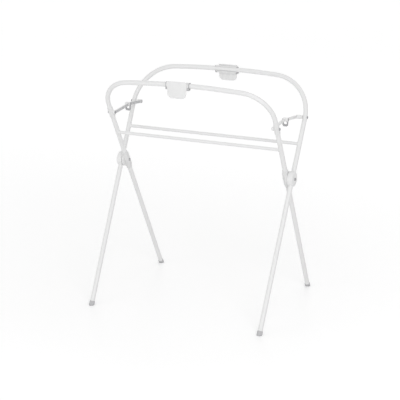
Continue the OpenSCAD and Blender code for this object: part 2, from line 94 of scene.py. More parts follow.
# Turns what is drawn on X and Y so that it stands on Y and Z
STOOD_UP = Matrix(((0, 0, 1, 0), (1, 0, 0, 0), (0, 1, 0, 0), (0, 0, 0, 1)))


class Tagged(Enum):
    """Options whose words appear in node names."""

    @property
    def tag(self) -> str:
        """The option's word."""
        return self.name.lower()


class Side(Tagged):
    """The two sides of the stand, as the sign of X."""

    LEFT = -1
    RIGHT = 1


class Frame(Tagged):
    """The two tube frames, as the sign of Y of their top bars."""

    INNER = -1
    OUTER = 1


class Axis(Enum):
    """The axes that round pieces are turned on."""

    X = (1, 0, 0)
    Z = (0, 0, 1)


@dataclass(frozen=True)
class StandSizes:
    """Sizes that more than one sub-assembly needs, as the part's source has them.

    Args:
        stand_h: Height of the top bars' centre line.
        hub_h: Height of the hub axis.
        frame_angle: Angle of each frame from the vertical, in radians.
        tube_r: Radius of the frame tube.
        inner_half_w: Distance from the middle of the stand to an inner leg, at the hub.
        outer_half_w: Distance from the middle of the stand to an outer leg, at the hub.
        inner_lean: Outward lean of the inner legs, in radians.
        outer_lean: Outward lean of the outer legs, in radians.
        inner_bow_r: Radius of the inner top bar's bow.
        outer_bow_r: Radius of the outer top bar's bow.
        stay_drop: Distance of the stays' pivots below the top bars, along a leg.
        knuckle_rise: Height of the knuckle above the line between the pivots.
        hub_gap_half: Half of the gap between the two halves of a hub.
    """

    stand_h: float = 960.0
    hub_h: float = 570.6
    frame_angle: float = math.radians(28.2)
    tube_r: float = 10.0
    inner_half_w: float = 370.0
    outer_half_w: float = 394.6
    inner_lean: float = math.radians(0.5)
    outer_lean: float = math.radians(0.8)
    inner_bow_r: float = 2950.0
    outer_bow_r: float = 3730.0
    stay_drop: float = 178.85
    knuckle_rise: float = 12.0
    hub_gap_half: float = 0.85

    @property
    def top_s(self) -> float:
        """Distance from the hub axis to the top bars, up a frame."""
        return (self.stand_h - self.hub_h) / math.cos(self.frame_angle)

    @property
    def stay_pivot_s(self) -> float:
        """Distance from the hub axis to the stays' pivots, up a leg."""
        return self.top_s - self.stay_drop

    @property
    def hub_mid_x(self) -> float:
        """Distance from the middle of the stand to the middle of a hub."""
        return (self.inner_half_w + self.outer_half_w) / 2

    @property
    def stay_leg_x(self) -> float:
        """Distance from the middle to the inner leg, level with the stay's pivot."""
        return self.inner_half_w + self.stay_pivot_s * math.tan(self.inner_lean)

    @property
    def rear_leg_x(self) -> float:
        """Distance from the middle to the outer leg, level with the stay's pivot."""
        return self.outer_half_w + self.stay_pivot_s * math.tan(self.outer_lean)

    @property
    def pivot_h(self) -> float:
        """Height of the stays' pivots."""
        return self.hub_h + self.stay_pivot_s * math.cos(self.frame_angle)

    @property
    def half_span(self) -> float:
        """Half of the distance between a stay's two pivots."""
        return self.stay_pivot_s * math.sin(self.frame_angle)

    @property
    def knuckle_h(self) -> float:
        """Height of the stays' knuckles."""
        return self.pivot_h + self.knuckle_rise

    def half_w(self, which: Frame) -> float:
        """Returns the distance from the middle to a frame's leg, at the hub."""
        return self.inner_half_w if which is Frame.INNER else self.outer_half_w

    def lean(self, which: Frame) -> float:
        """Returns a frame's outward lean, in radians."""
        return self.inner_lean if which is Frame.INNER else self.outer_lean

    def bow_r(self, which: Frame) -> float:
        """Returns the radius of a top bar's bow."""
        return self.inner_bow_r if which is Frame.INNER else self.outer_bow_r

    def floor_s(self, which: Frame) -> float:
        """Returns where a leg meets the floor, as a distance along it from the hub axis."""
        return -self.hub_h / math.cos(self.frame_angle) / math.cos(self.lean(which))

    def pivot(self, which: Frame) -> tuple[float, float]:
        """Returns the Y and Z of the stays' pivots on a frame."""
        return which.value * self.half_span, self.pivot_h

    def plane(self, which: Frame) -> Matrix:
        """Returns the placing of a frame's plane, with Z up the frame from the hub axis."""
        turn = Matrix.Rotation(-which.value * self.frame_angle, 4, "X")
        return Matrix.Translation((0, 0, self.hub_h)) @ turn

    def leg(self, which: Frame) -> Matrix:
        """Returns the placing of a frame's right leg, with Z up the leg from the hub axis."""
        lean = Matrix.Rotation(self.lean(which), 4, "Y")
        return self.plane(which) @ Matrix.Translation((self.half_w(which), 0, 0)) @ lean


SIZES = StandSizes()


def mirrored(side: Side) -> Matrix:
    """Returns the matrix that leaves what is made for the right there, or mirrors it to the left."""
    return Matrix.Diagonal((side.value, 1, 1, 1))


def of_kind(geom: list, kind: type) -> list:
    """Returns the vertices, the edges or the faces among what an operator made."""
    return [item for item in geom if isinstance(item, kind)]


def spread(count: int, pitch: float) -> list[float]:
    """Returns evenly spaced places on both sides of zero."""
    return [(i - (count - 1) / 2) * pitch for i in range(count)]


def put_in_scene(name: str, data: bpy.types.ID) -> bpy.types.Object:
    """Makes an object of a mesh, a lamp or a camera.

    Args:
        name: The object's name.
        data: What it shows.

    Returns:
        The new object, which is in the scene.
    """
    made = bpy.data.objects.new(name, data)
    bpy.context.scene.collection.objects.link(made)
    return made


class Shaper:
    """Shapes one piece's mesh with bmesh operators, in millimetres."""

    def __init__(self) -> None:
        """Starts an empty mesh."""
        self.bm = bmesh.new()

    def wire(self, corners: list[tuple[float, ...]], closed: bool = False) -> None:
        """Adds a chain of edges and rounds its corners, the longest roundings first.

        Args:
            corners: Its corners, each as X, Y, Z and, where it is rounded, the rounding's length
                along its edges and its segments.
            closed: Whether the last corner joins the first.
        """
        verts = [self.bm.verts.new(corner[:3]) for corner in corners]
        for pair in zip(verts, verts[1:] + verts[:1] if closed else verts[1:]):
            self.bm.edges.new(pair)
        roundings = {tuple(corner[3:]) for corner in corners if len(corner) > 3}
        for rounding in sorted(roundings, reverse=True):
            alike = [vert for vert, corner in zip(verts, corners) if tuple(corner[3:]) == rounding]
            self.round_off(alike, *rounding, affect="VERTICES")

    def round_off(self, geom: list, width: float, segments: int, affect: str = "EDGES") -> None:
        """Rounds edges of a body or corners of a wire.

        Args:
            geom: The edges or vertices.
            width: How far from them the rounding starts.
            segments: The number of steps in it.
            affect: EDGES or VERTICES.
        """
        bmesh.ops.bevel(self.bm, geom=geom, offset=width, offset_type="OFFSET", segments=segments,
                        profile=0.5, affect=affect, clamp_overlap=True, material=-1)

    def round_sharp(self, width: float, segments: int = 3) -> None:
        """Rounds every sharp edge.

        Args:
            width: How far from the edges the rounding starts.
            segments: The number of steps in it.
        """
        edges = [e for e in self.bm.edges if len(e.link_faces) == 2 and e.calc_face_angle(0) > SHARP]
        self.round_off(edges, width, segments)

    def merge(self) -> None:
        """Merges doubles and turns all faces outwards."""
        bmesh.ops.remove_doubles(self.bm, verts=self.bm.verts[:], dist=MERGE_DIST)
        bmesh.ops.dissolve_degenerate(self.bm, edges=self.bm.edges[:], dist=LEAST_EDGE)
        bmesh.ops.recalc_face_normals(self.bm, faces=self.bm.faces[:])

    def revolve(self, axis: Axis, steps: int) -> None:
        """Spins all there is through a full turn.

        Args:
            axis: The axis that it spins round.
            steps: The number of steps in the turn.
        """
        bmesh.ops.spin(self.bm, geom=self.bm.verts[:] + self.bm.edges[:], cent=(0, 0, 0),
                       axis=axis.value, angle=2 * math.pi, steps=steps, use_merge=True)
        self.merge()

    @classmethod
    def turned(cls, axis: Axis, steps: int, profile: list[tuple[float, ...]],
               bored: bool = False) -> Shaper:
        """Turns a body on an axis, as on a lathe.

        Args:
            axis: The axis.
            steps: The number of steps in the turn.
            profile: The corners of its outline, each as a place along the axis, a distance from it
                and, where it is rounded, the rounding's length and segments.
            bored: Whether the outline closes round a bore.

        Returns:
            The shaped body.
        """
        made = cls()
        made.wire([(along, 0, out, *rounding) if axis is Axis.X else (out, 0, along, *rounding)
                   for along, out, *rounding in profile], bored)
        made.revolve(axis, steps)
        return made

    def thicken(self, step: Point, width: float) -> None:
        """Extrudes all faces into closed bodies and rounds their sharp edges.

        Args:
            step: The way from one end of the bodies to the other.
            width: The rounding of their edges.
        """
        made = bmesh.ops.extrude_face_region(self.bm, geom=self.bm.faces[:], use_keep_orig=True)
        bmesh.ops.translate(self.bm, verts=of_kind(made["geom"], bmesh.types.BMVert), vec=step)
        self.merge()
        self.round_sharp(width)

    def fill(self) -> None:
        """Closes an outline with a face."""
        bmesh.ops.contextual_create(self.bm, geom=self.bm.edges[:])

    def cut(self, point: Point, normal: Point) -> None:
        """Cuts away what lies beyond a plane and closes the cut.

        Args:
            point: A point on the plane.
            normal: The way from the plane to what is cut away.
        """
        geom = self.bm.verts[:] + self.bm.edges[:] + self.bm.faces[:]
        made = bmesh.ops.bisect_plane(self.bm, geom=geom, dist=LEAST_EDGE, plane_co=point,
                                      plane_no=normal, clear_outer=True)
        edges = of_kind(made["geom_cut"], bmesh.types.BMEdge)
        bmesh.ops.holes_fill(self.bm, edges=edges, sides=0)

    def block(self, low: Point, high: Point, width: float) -> None:
        """Adds a box between two corners, with its edges rounded.

        Args:
            low: The lowest corner.
            high: The highest corner.
            width: The rounding of its edges.
        """
        size = Vector(high) - Vector(low)
        matrix = Matrix.Translation((Vector(low) + Vector(high)) / 2) @ Matrix.Diagonal((*size, 1))
        verts = bmesh.ops.create_cube(self.bm, size=1, matrix=matrix)["verts"]
        self.round_off(list({edge for vert in verts for edge in vert.link_edges}), width, 2)

    def paint(self, place: int) -> None:
        """Gives all faces one of the piece's finishes, by its place in the list."""
        for face in self.bm.faces:
            face.material_index = place

    def place(self, matrix: Matrix) -> None:
        """Moves all there is by a matrix."""
        bmesh.ops.transform(self.bm, matrix=matrix, verts=self.bm.verts[:])

    def add(self, other: Shaper) -> None:
        """Takes in another piece's mesh.

        Args:
            other: The shaper of that piece, which can't be used after this.
        """
        mesh = bpy.data.meshes.new("taken_in")
        other.bm.to_mesh(mesh)
        other.bm.free()
        self.bm.from_mesh(mesh)
        bpy.data.meshes.remove(mesh)

    def finish(self, name: str, body: str, finish: Finish, nodes: tuple[str, ...] = (),
               others: tuple[Finish, ...] = (), inboard: int = 0) -> None:
        """Makes the mesh an object that rides on a body and stands for CAD nodes.

        Args:
            name: The piece's name.
            body: The body that it rides on.
            finish: Its finish.
            nodes: The CAD nodes that it stands for.
            others: Its other finishes, the painted shade of its back first.
            inboard: The way along X that its back looks.
        """
        bmesh.ops.recalc_face_normals(self.bm, faces=self.bm.faces[:])
        for face in self.bm.faces:
            face.smooth = True
            # Faces that lean inboard take the back's painted shade, a darker colour standing in for shade
            if others and not face.material_index and face.normal.x * inboard > SHADED_BACK_LIMIT:
                face.material_index = SHADED_BACK_PLACE
        for edge in self.bm.edges:
            edge.smooth = len(edge.link_faces) != 2 or edge.calc_face_angle(0) < CRISP
        self.place(Matrix.Scale(MM, 4))
        mesh = bpy.data.meshes.new(name)
        self.bm.to_mesh(mesh)
        self.bm.free()
        piece = put_in_scene(name, mesh)
        for each in (finish, *others):
            mesh.materials.append(each.material())
        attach(piece, body)
        if nodes:
            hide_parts(*nodes)
        LOG.info("%s rides on %s, %d faces", name, body, len(mesh.polygons))


def round_boss(x0: float, x1: float, d: float, at: tuple[float, float], rounding: float,
               bore_d: float = 0.0) -> Shaper:
    """Shapes a round boss along X, solid or bored through.

    Args:
        x0: One end.
        x1: The other end.
        d: Its diameter.
        at: The Y and Z of its axis.
        rounding: The rounding of both rims.
        bore_d: The diameter of its bore, or 0 where it is solid.

    Returns:
        The shaped boss.
    """
    rim = (d / 2, rounding, RIM_SEGMENTS)
    made = Shaper.turned(Axis.X, ROUND_STEPS, [(x0, bore_d / 2), (x0, *rim), (x1, *rim), (x1, bore_d / 2)],
                         bored=bore_d > 0)
    made.place(Matrix.Translation((0, *at)))
    return made


def add_node(tree: bpy.types.NodeTree, kind: str, values: dict[str, float | tuple] | None = None,
             **settings: str | bpy.types.NodeTree) -> bpy.types.Node:
    """Adds a node to a tree.

    Args:
        tree: The tree.
        kind: The node's kind, after its ShaderNode.
        values: What its inputs are set to, by their names.
        **settings: What its other properties are set to, before its inputs.

    Returns:
        The new node.
    """
    node = tree.nodes.new(f"ShaderNode{kind}")
    for key, value in settings.items():
        setattr(node, key, value)
    for key, value in (values or {}).items():
        node.inputs[key].default_value = value
    return node


def join(tree: bpy.types.NodeTree,
         *links: tuple[bpy.types.Node, str, bpy.types.Node, str | int]) -> None:
    """Links nodes of a tree.

    Args:
        tree: The tree.
        *links: The links, each as a node, its output, the next node and that one's input.
    """
    for start, output, end, key in links:
        tree.links.new(start.outputs[output], end.inputs[key])


class GroupMaker:
    """Builds the shader node groups that the finishes share, once each."""

    @staticmethod
    def _new(name: str, inputs: dict[str, float],
             outputs: tuple[str, ...]) -> tuple[bpy.types.NodeTree, bpy.types.Node, bpy.types.Node]:
        """Starts a node group of float sockets.

        Args:
            name: The group's name.
            inputs: Its inputs and their values.
            outputs: Its outputs.

        Returns:
            The tree, its input node and its output node.
        """
        tree = bpy.data.node_groups.new(name, "ShaderNodeTree")
        for key, value in inputs.items():
            socket = tree.interface.new_socket(key, in_out="INPUT", socket_type="NodeSocketFloat")
            socket.default_value = value
        for key in outputs:
            tree.interface.new_socket(key, in_out="OUTPUT", socket_type="NodeSocketFloat")
        return tree, tree.nodes.new("NodeGroupInput"), tree.nodes.new("NodeGroupOutput")

    @classmethod
    def grain(cls) -> bpy.types.NodeTree:
        """Builds the fine surface grain, from Object coordinates.

        Returns:
            The group, which puts out a height and a slow variation.
        """
        if "SurfaceGrain" in bpy.data.node_groups:
            return bpy.data.node_groups["SurfaceGrain"]
        tree, start, end = cls._new(
            "SurfaceGrain", {"Fine Scale": 900.0, "Broad Scale": 30.0, "Broad Share": 0.3},
            ("Height", "Variation"))
        coords, mix = add_node(tree, "TexCoord"), add_node(tree, "Mix")
        fine, broad = (add_node(tree, "TexNoise", {"Detail": detail}) for detail in (3.0, 4.0))
        join(tree,
             (coords, "Object", fine, "Vector"), (start, "Fine Scale", fine, "Scale"),
             (coords, "Object", broad, "Vector"), (start, "Broad Scale", broad, "Scale"),
             (start, "Broad Share", mix, "Factor"), (fine, "Fac", mix, "A"), (broad, "Fac", mix, "B"),
             (mix, "Result", end, "Height"), (broad, "Fac", end, "Variation"))
        return tree

    @classmethod
    def wear(cls) -> bpy.types.NodeTree:
        """Builds the scuffs near the floor, from Object coordinates.

        Returns:
            The group, which puts out a mask from 0 to its amount.
        """
        if "ScuffMask" in bpy.data.node_groups:
            return bpy.data.node_groups["ScuffMask"]
        tree, start, end = cls._new(
            "ScuffMask", {"Height": 0.01, "Scale": 260.0, "Amount": 0.5}, ("Mask",))
        coords, split = add_node(tree, "TexCoord"), add_node(tree, "SeparateXYZ")
        near = add_node(tree, "MapRange", {"To Min": 1.0, "To Max": 0.0})
        noise = add_node(tree, "TexNoise", {"Detail": 6.0, "Roughness": 0.7})
        marks = add_node(tree, "MapRange", {"From Min": 0.45, "From Max": 0.62})
        low_marks, mask = (add_node(tree, "Math", operation="MULTIPLY") for _ in range(2))
        join(tree,
             (coords, "Object", split, "Vector"), (coords, "Object", noise, "Vector"),
             (start, "Scale", noise, "Scale"), (split, "Z", near, "Value"),
             (start, "Height", near, "From Max"), (noise, "Fac", marks, "Value"),
             (near, "Result", low_marks, 0), (marks, "Result", low_marks, 1),
             (low_marks, "Value", mask, 0), (start, "Amount", mask, 1), (mask, "Value", end, "Mask"))
        return tree


@dataclass(frozen=True)
class Finish:
    """One finish: a colour with slow variation, a fine grain, and scuffs near the floor.

    Args:
        slot: The record's material slot.
        colour: The base colour.
        roughness: The middle of its roughness.
        metallic: 1 for bare metal.
        fine_scale: Grains to the metre.
        broad_scale: Patches of the slow variation to the metre.
        bump: Depth of the grain in metres.
        tone: How much the colour varies.
        scuffs: How much of the foot is scuffed.
        coat: Weight of a clear coat.
        name: The material's name, where it isn't the slot's.
        rough_spread: How far the roughness varies, up and down.
        rough_least: The least roughness.
        scuff_shade: What a scuff leaves of the colour.
        coat_roughness: The roughness of the clear coat.
    """

    slot: str
    colour: tuple[float, float, float]
    roughness: float
    metallic: float = 0.0
    fine_scale: float = 900.0
    broad_scale: float = 30.0
    bump: float = 0.00002
    tone: float = 0.03
    scuffs: float = 0.0
    coat: float = 0.0
    name: str = ""
    rough_spread: float = 0.07
    rough_least: float = 0.05
    scuff_shade: float = 0.45
    coat_roughness: float = 0.2

    def _shade(self, share: float) -> tuple[float, float, float, float]:
        """Returns the colour, darker or lighter by a share, with its alpha."""
        return (*(min(1.0, c * share) for c in self.colour), 1)

    def material(self) -> bpy.types.Material:
        """Makes this finish's material, the first time.

        Returns:
            The material.
        """
        name = f"{self.name or self.slot}_finish"
        if name in bpy.data.materials:
            return bpy.data.materials[name]
        mat = bpy.data.materials.new(name)
        mat.use_nodes = True
        tree = mat.node_tree
        shader = tree.nodes["Principled BSDF"]
        shader.inputs["Metallic"].default_value = self.metallic
        shader.inputs["Coat Weight"].default_value = self.coat
        shader.inputs["Coat Roughness"].default_value = self.coat_roughness
        grain = add_node(tree, "Group", {"Fine Scale": self.fine_scale, "Broad Scale": self.broad_scale},
                         node_tree=GroupMaker.grain())
        scuff = add_node(tree, "Group", {"Amount": self.scuffs}, node_tree=GroupMaker.wear())
        tone = add_node(tree, "Mix", {"A": self._shade(1 - self.tone), "B": self._shade(1 + self.tone)},
                        data_type="RGBA")
        dirt = add_node(tree, "Mix", {"B": self._shade(self.scuff_shade)}, data_type="RGBA")
        rough = add_node(tree, "MapRange", {
            "To Min": max(self.rough_least, self.roughness - self.rough_spread),
            "To Max": min(1.0, self.roughness + self.rough_spread)})
        bump = add_node(tree, "Bump", {"Distance": self.bump, "Strength": 1.0})
        join(tree,
             (grain, "Variation", tone, "Factor"), (tone, "Result", dirt, "A"),
             (scuff, "Mask", dirt, "Factor"), (dirt, "Result", shader, "Base Color"),
             (grain, "Variation", rough, "Value"), (rough, "Result", shader, "Roughness"),
             (grain, "Height", bump, "Height"), (bump, "Normal", shader, "Normal"))
        return mat


PAINT = Finish("white_painted_tube", (0.82, 0.82, 0.82), 0.36, fine_scale=700, bump=0.000012,
               tone=0.015, coat=0.15)
HUB = Finish("hub_plastic", (0.83, 0.83, 0.83), 0.42, fine_scale=1600, bump=0.00001, tone=0.02)
SLEEVE = Finish("hub_sleeve_plastic", (0.77, 0.77, 0.77), 0.5, fine_scale=1500, bump=0.000014)
CLAMP = Finish("clamp_plastic", (0.80, 0.80, 0.80), 0.42, fine_scale=1600, bump=0.00001, tone=0.02)
CLIP = Finish("clip_plastic", (0.82, 0.82, 0.82), 0.45, fine_scale=1800, bump=0.000014, tone=0.02)
JAW = Finish("clip_jaw_plastic", (0.80, 0.80, 0.80), 0.5, fine_scale=1800, bump=0.000014)
# Painted shade: the jaw's two ends are coloured darker, standing in for the shade in its open ends
JAW_END_SHADE = Finish("washer_plastic", (0.50, 0.50, 0.51), 0.55, name="jaw_tip_plastic")
STAY = Finish("stay_plastic", (0.86, 0.86, 0.86), 0.5, fine_scale=1500, bump=0.000015)
# Painted shade: a link's inboard back is coloured darker, standing in for the shade it falls in
STAY_BACK_SHADE = Finish("stay_plastic", (0.57, 0.57, 0.58), 0.6, fine_scale=1100, bump=0.00003,
                   name="stay_back_plastic")
STAY_LOOP = Finish("stay_plastic", (0.42, 0.42, 0.43), 0.58, fine_scale=1100, bump=0.00003,
                   name="stay_loop_plastic")
WASHER = Finish("washer_plastic", (0.28, 0.28, 0.29), 0.55)
CAP = Finish("foot_cap_grey", (0.54, 0.54, 0.55), 0.62, fine_scale=1200, bump=0.00003, scuffs=0.8)
STEEL = Finish("fastener_steel", (0.42, 0.42, 0.43), 0.34, metallic=1.0, fine_scale=2400,
               broad_scale=160, bump=0.000006, tone=0.05)


@dataclass
class TubeFrame:
    """One bent tube frame with its crossbar, its welds and its foot caps.

    Args:
        which: The frame.
        corner_r: Radius of its upper corners.
        bar_h: Height of its crossbar above the floor.
    """

    which: Frame
    corner_r: float
    bar_h: float
    tube_sides: int = 48
    bow_steps: int = 12
    corner_steps: int = 26
    bar_r: float = 7.0
    bar_run_in: float = 2.5
    bar_sides: int = 40
    weld_r: float = 1.5
    weld_sink: float = 0.2
    weld_sides: int = 12
    # A weld's bead swells by these shares, in its ripples and in a slower wander
    ripple: float = 0.13
    ripple_count: int = 26
    ripple_steps: int = 4
    wander: float = 0.08
    wander_count: int = 3
    wander_phase: float = 1.0
    cap_fit: float = 0.05
    cap_wall: float = 1.6
    cap_len: float = 17.0
    cap_sole: float = 3.0
    cap_round: Rounding = (0.8, 4)
    cap_steps: int = 56
    # What a cap has to spare below the floor, before it is cut level
    cap_spare: float = 1.0
    # A ring on the cap's top, this far inside the tube's radius
    cap_ring: float = 0.4
    # Where the cap's grooves start, up the leg from the floor
    grooves: tuple[float, ...] = (7.0, 10.6)
    groove_w: float = 1.6
    groove_depth: float = 0.35
    groove_slope: float = 0.4

    @property
    def body(self) -> str:
        """The body that the frame is."""
        return f"{self.which.tag}_frame"

    @property
    def bar_s(self) -> float:
        """Distance from the hub axis to the crossbar, up the frame."""
        return (self.bar_h - SIZES.hub_h) / math.cos(SIZES.frame_angle)

    @property
    def bar_leg_x(self) -> float:
        """Distance from the middle to the leg, level with the crossbar."""
        return SIZES.half_w(self.which) + self.bar_s * math.tan(SIZES.lean(self.which))

    def corner_centre(self) -> tuple[float, float]:
        """Finds where the upper corner's bend meets both the leg and the bow smoothly.

        Returns:
            The centre of the bend, across and up the frame.
        """
        lean, bow_r = SIZES.lean(self.which), SIZES.bow_r(self.which)
        up = Vector((math.sin(lean), math.cos(lean)))
        start = Vector((SIZES.half_w(self.which) - self.corner_r * math.cos(lean),
                        self.corner_r * math.sin(lean)))
        to_start = start - Vector((0, SIZES.top_s - bow_r))
        b = to_start.dot(up)
        c = to_start.dot(to_start) - (bow_r - self.corner_r) ** 2
        centre = start + up * (math.sqrt(b * b - c) - b)
        return centre.x, centre.y

    def tube(self) -> None:
        """Sweeps the tube from the crest of its top bar down one leg, and mirrors it."""
        cx, cs = self.corner_centre()
        lean, bow_r = SIZES.lean(self.which), SIZES.bow_r(self.which)
        bow_turn = math.pi / 2 - math.atan2(cs - SIZES.top_s + bow_r, cx)
        corner_turn = math.pi / 2 + lean - bow_turn
        shape = Shaper()
        bm = shape.bm
        section = Matrix.Translation((0, 0, SIZES.top_s)) @ LAID_DOWN
        bmesh.ops.create_circle(bm, segments=self.tube_sides, radius=SIZES.tube_r, matrix=section)
        last = bm.verts[:] + bm.edges[:]
        for centre, turn, steps in (((0, 0, SIZES.top_s - bow_r), bow_turn, self.bow_steps),
                                    ((cx, 0, cs), corner_turn, self.corner_steps)):
            last = bmesh.ops.spin(bm, geom=last, cent=centre, axis=(0, 1, 0), angle=turn,
                                  steps=steps)["geom_last"]
        low_s = SIZES.floor_s(self.which) + SIZES.tube_r * math.tan(SIZES.frame_angle) + self.cap_sole
        leg_top = Vector((cx + self.corner_r * math.cos(lean), 0, cs - self.corner_r * math.sin(lean)))
        length = (leg_top - Vector((SIZES.half_w(self.which), 0, 0))).length - low_s
        down = Vector((-math.sin(lean), 0, -math.cos(lean)))
        made = bmesh.ops.extrude_edge_only(bm, edges=of_kind(last, bmesh.types.BMEdge))["geom"]
        verts = of_kind(made, bmesh.types.BMVert)
        bmesh.ops.translate(bm, verts=verts, vec=down * length)
        rim = [edge for edge in of_kind(made, bmesh.types.BMEdge) if all(v in verts for v in edge.verts)]
        bmesh.ops.holes_fill(bm, edges=rim, sides=0)
        bmesh.ops.mirror(bm, geom=bm.verts[:] + bm.edges[:] + bm.faces[:], matrix=Matrix.Identity(4),
                         merge_dist=MERGE_DIST, axis="X")
        shape.merge()
        shape.place(SIZES.plane(self.which))
        shape.finish(f"{self.which.tag}_tube_bent", self.body, PAINT, (f"{self.which.tag}_frame_tube",))

    def crossbar(self) -> None:
        """Makes the crossbar, whose ends run into the legs' walls."""
        reach = self.bar_leg_x - SIZES.tube_r + self.bar_run_in
        shape = Shaper()
        place = SIZES.plane(self.which) @ Matrix.Translation((0, 0, self.bar_s)) @ LAID_DOWN
        bmesh.ops.create_cone(shape.bm, cap_ends=True, segments=self.bar_sides, radius1=self.bar_r,
                              radius2=self.bar_r, depth=2 * reach, matrix=place)
        shape.finish(f"{self.which.tag}_bar_round", self.body, PAINT, (f"{self.which.tag}_crossbar",))

    def welds(self) -> None:
        """Lays a rippled bead round each end of the crossbar, against the round leg."""
        for side in Side:
            shape = Shaper()
            ring = Matrix.Translation((0, 0, self.bar_r)) @ Matrix.Rotation(math.pi / 2, 4, "X")
            bmesh.ops.create_circle(shape.bm, segments=self.weld_sides, radius=self.weld_r, matrix=ring)
            shape.revolve(Axis.X, self.ripple_steps * self.ripple_count)
            for vert in shape.bm.verts:
                turn = math.atan2(vert.co.y, vert.co.z)
                middle = Vector((0, math.sin(turn), math.cos(turn))) * self.bar_r
                swell = (1 + self.ripple * math.cos(self.ripple_count * turn)
                         + self.wander * math.cos(self.wander_count * turn + self.wander_phase))
                vert.co = middle + (vert.co - middle) * swell
                dip = SIZES.tube_r - math.sqrt(max(0.0, SIZES.tube_r ** 2 - vert.co.y ** 2))
                vert.co.x += self.bar_leg_x - SIZES.tube_r - self.weld_sink + dip
            shape.place(SIZES.plane(self.which) @ Matrix.Translation((0, 0, self.bar_s)))
            shape.place(mirrored(side))
            shape.finish(f"{self.which.tag}_weld_{side.tag}", self.body, PAINT)

    def cap_profile(self) -> list[tuple[float, ...]]:
        """Draws a foot cap's outline, with its grooves.

        Returns:
            Its corners, as places up the leg from the floor and distances from its axis.
        """
        r = SIZES.tube_r + self.cap_fit + self.cap_wall
        low = -(r * math.tan(SIZES.frame_angle) + self.cap_spare)
        profile = [(low, 0), (low, r)]
        for start in self.grooves:
            end, floor_r = start + self.groove_w, r - self.groove_depth
            profile += [(start, r), (start + self.groove_slope, floor_r),
                        (end - self.groove_slope, floor_r), (end, r)]
        top = self.cap_len
        return profile + [(top, r, *self.cap_round), (top, SIZES.tube_r - self.cap_ring), (top, 0)]

    def foot_caps(self) -> None:
        """Makes the caps on the legs' ends, cut level with the floor."""
        for side in Side:
            shape = Shaper.turned(Axis.Z, self.cap_steps, self.cap_profile())
            shape.place(Matrix.Translation((0, 0, SIZES.floor_s(self.which))))
            shape.place(SIZES.leg(self.which))
            shape.cut((0, 0, 0), (0, 0, -1))
            shape.place(mirrored(side))
            node = f"{self.which.tag}_foot_{side.tag}"
            shape.finish(f"{node}_ribbed", self.body, CAP, (node,))

    def build(self) -> None:
        """Builds the whole frame."""
        self.tube()
        self.crossbar()
        self.welds()
        self.foot_caps()


@dataclass(frozen=True)
class Fastener:
    """A low domed head: a bolt's with a hexagonal socket, or a plain nut's or rivet's.

    Args:
        d: Its diameter.
        h: Its height.
        socket_d: The width of its socket across corners, or 0 where it has none.
    """

    d: float
    h: float
    socket_d: float = 0.0
    rim_round: Rounding = (0.25, 3)
    # The dome's height, as a share of the head's
    dome_h: float = 0.42
    # The dome's corners, as shares of its height that lie above them and of the head's radius
    dome: tuple[tuple[float, float], ...] = ((0.45, 0.86), (0.12, 0.66))
    # The flat crown and the socket's floor and flare, as shares of the radius, height and socket
    crown_r: float = 0.3
    socket_floor: float = 0.45
    socket_flare: float = 1.08
    flare_h: float = 0.1

    def _shape(self) -> Shaper:
        """Shapes the head, standing on the plane x = 0 and growing to +X.

        Returns:
            The shaped head.
        """
        r, rise, hole = self.d / 2, self.h * self.dome_h, self.socket_d / 2
        floor = self.h * self.socket_floor
        profile = [(0, 0), (0, r, *self.rim_round), (self.h - rise, r, *self.rim_round)]
        profile += [(self.h - rise * above, r * share) for above, share in self.dome]
        if not hole:
            return Shaper.turned(Axis.X, ROUND_STEPS, profile + [(self.h, r * self.crown_r), (self.h, 0)])
        made = Shaper.turned(Axis.X, ROUND_STEPS, profile + [
            (self.h, hole * self.socket_flare), (self.h - self.flare_h, hole), (floor, hole), (floor, 0)])
        # The socket's round wall is drawn in to a hexagon
        sixth = math.pi / 3
        for vert in made.bm.verts:
            across = math.hypot(vert.co.y, vert.co.z)
            if vert.co.x > floor - SAME and abs(across - hole) < SAME:
                turn = math.atan2(vert.co.z, vert.co.y) % sixth - sixth / 2
                vert.co.y *= math.cos(sixth / 2) / math.cos(turn)
                vert.co.z *= math.cos(sixth / 2) / math.cos(turn)
        return made

    def placed(self, at: Point, faces: Side, side: Side) -> Shaper:
        """Shapes the head where it goes.

        Args:
            at: The middle of what it lies on, on the right side of the stand.
            faces: The way along X that it grows there.
            side: The side of the stand that it goes to.

        Returns:
            The shaped head.
        """
        made = self._shape()
        made.place(Matrix.Translation(at) @ mirrored(faces))
        made.place(mirrored(side))
        return made


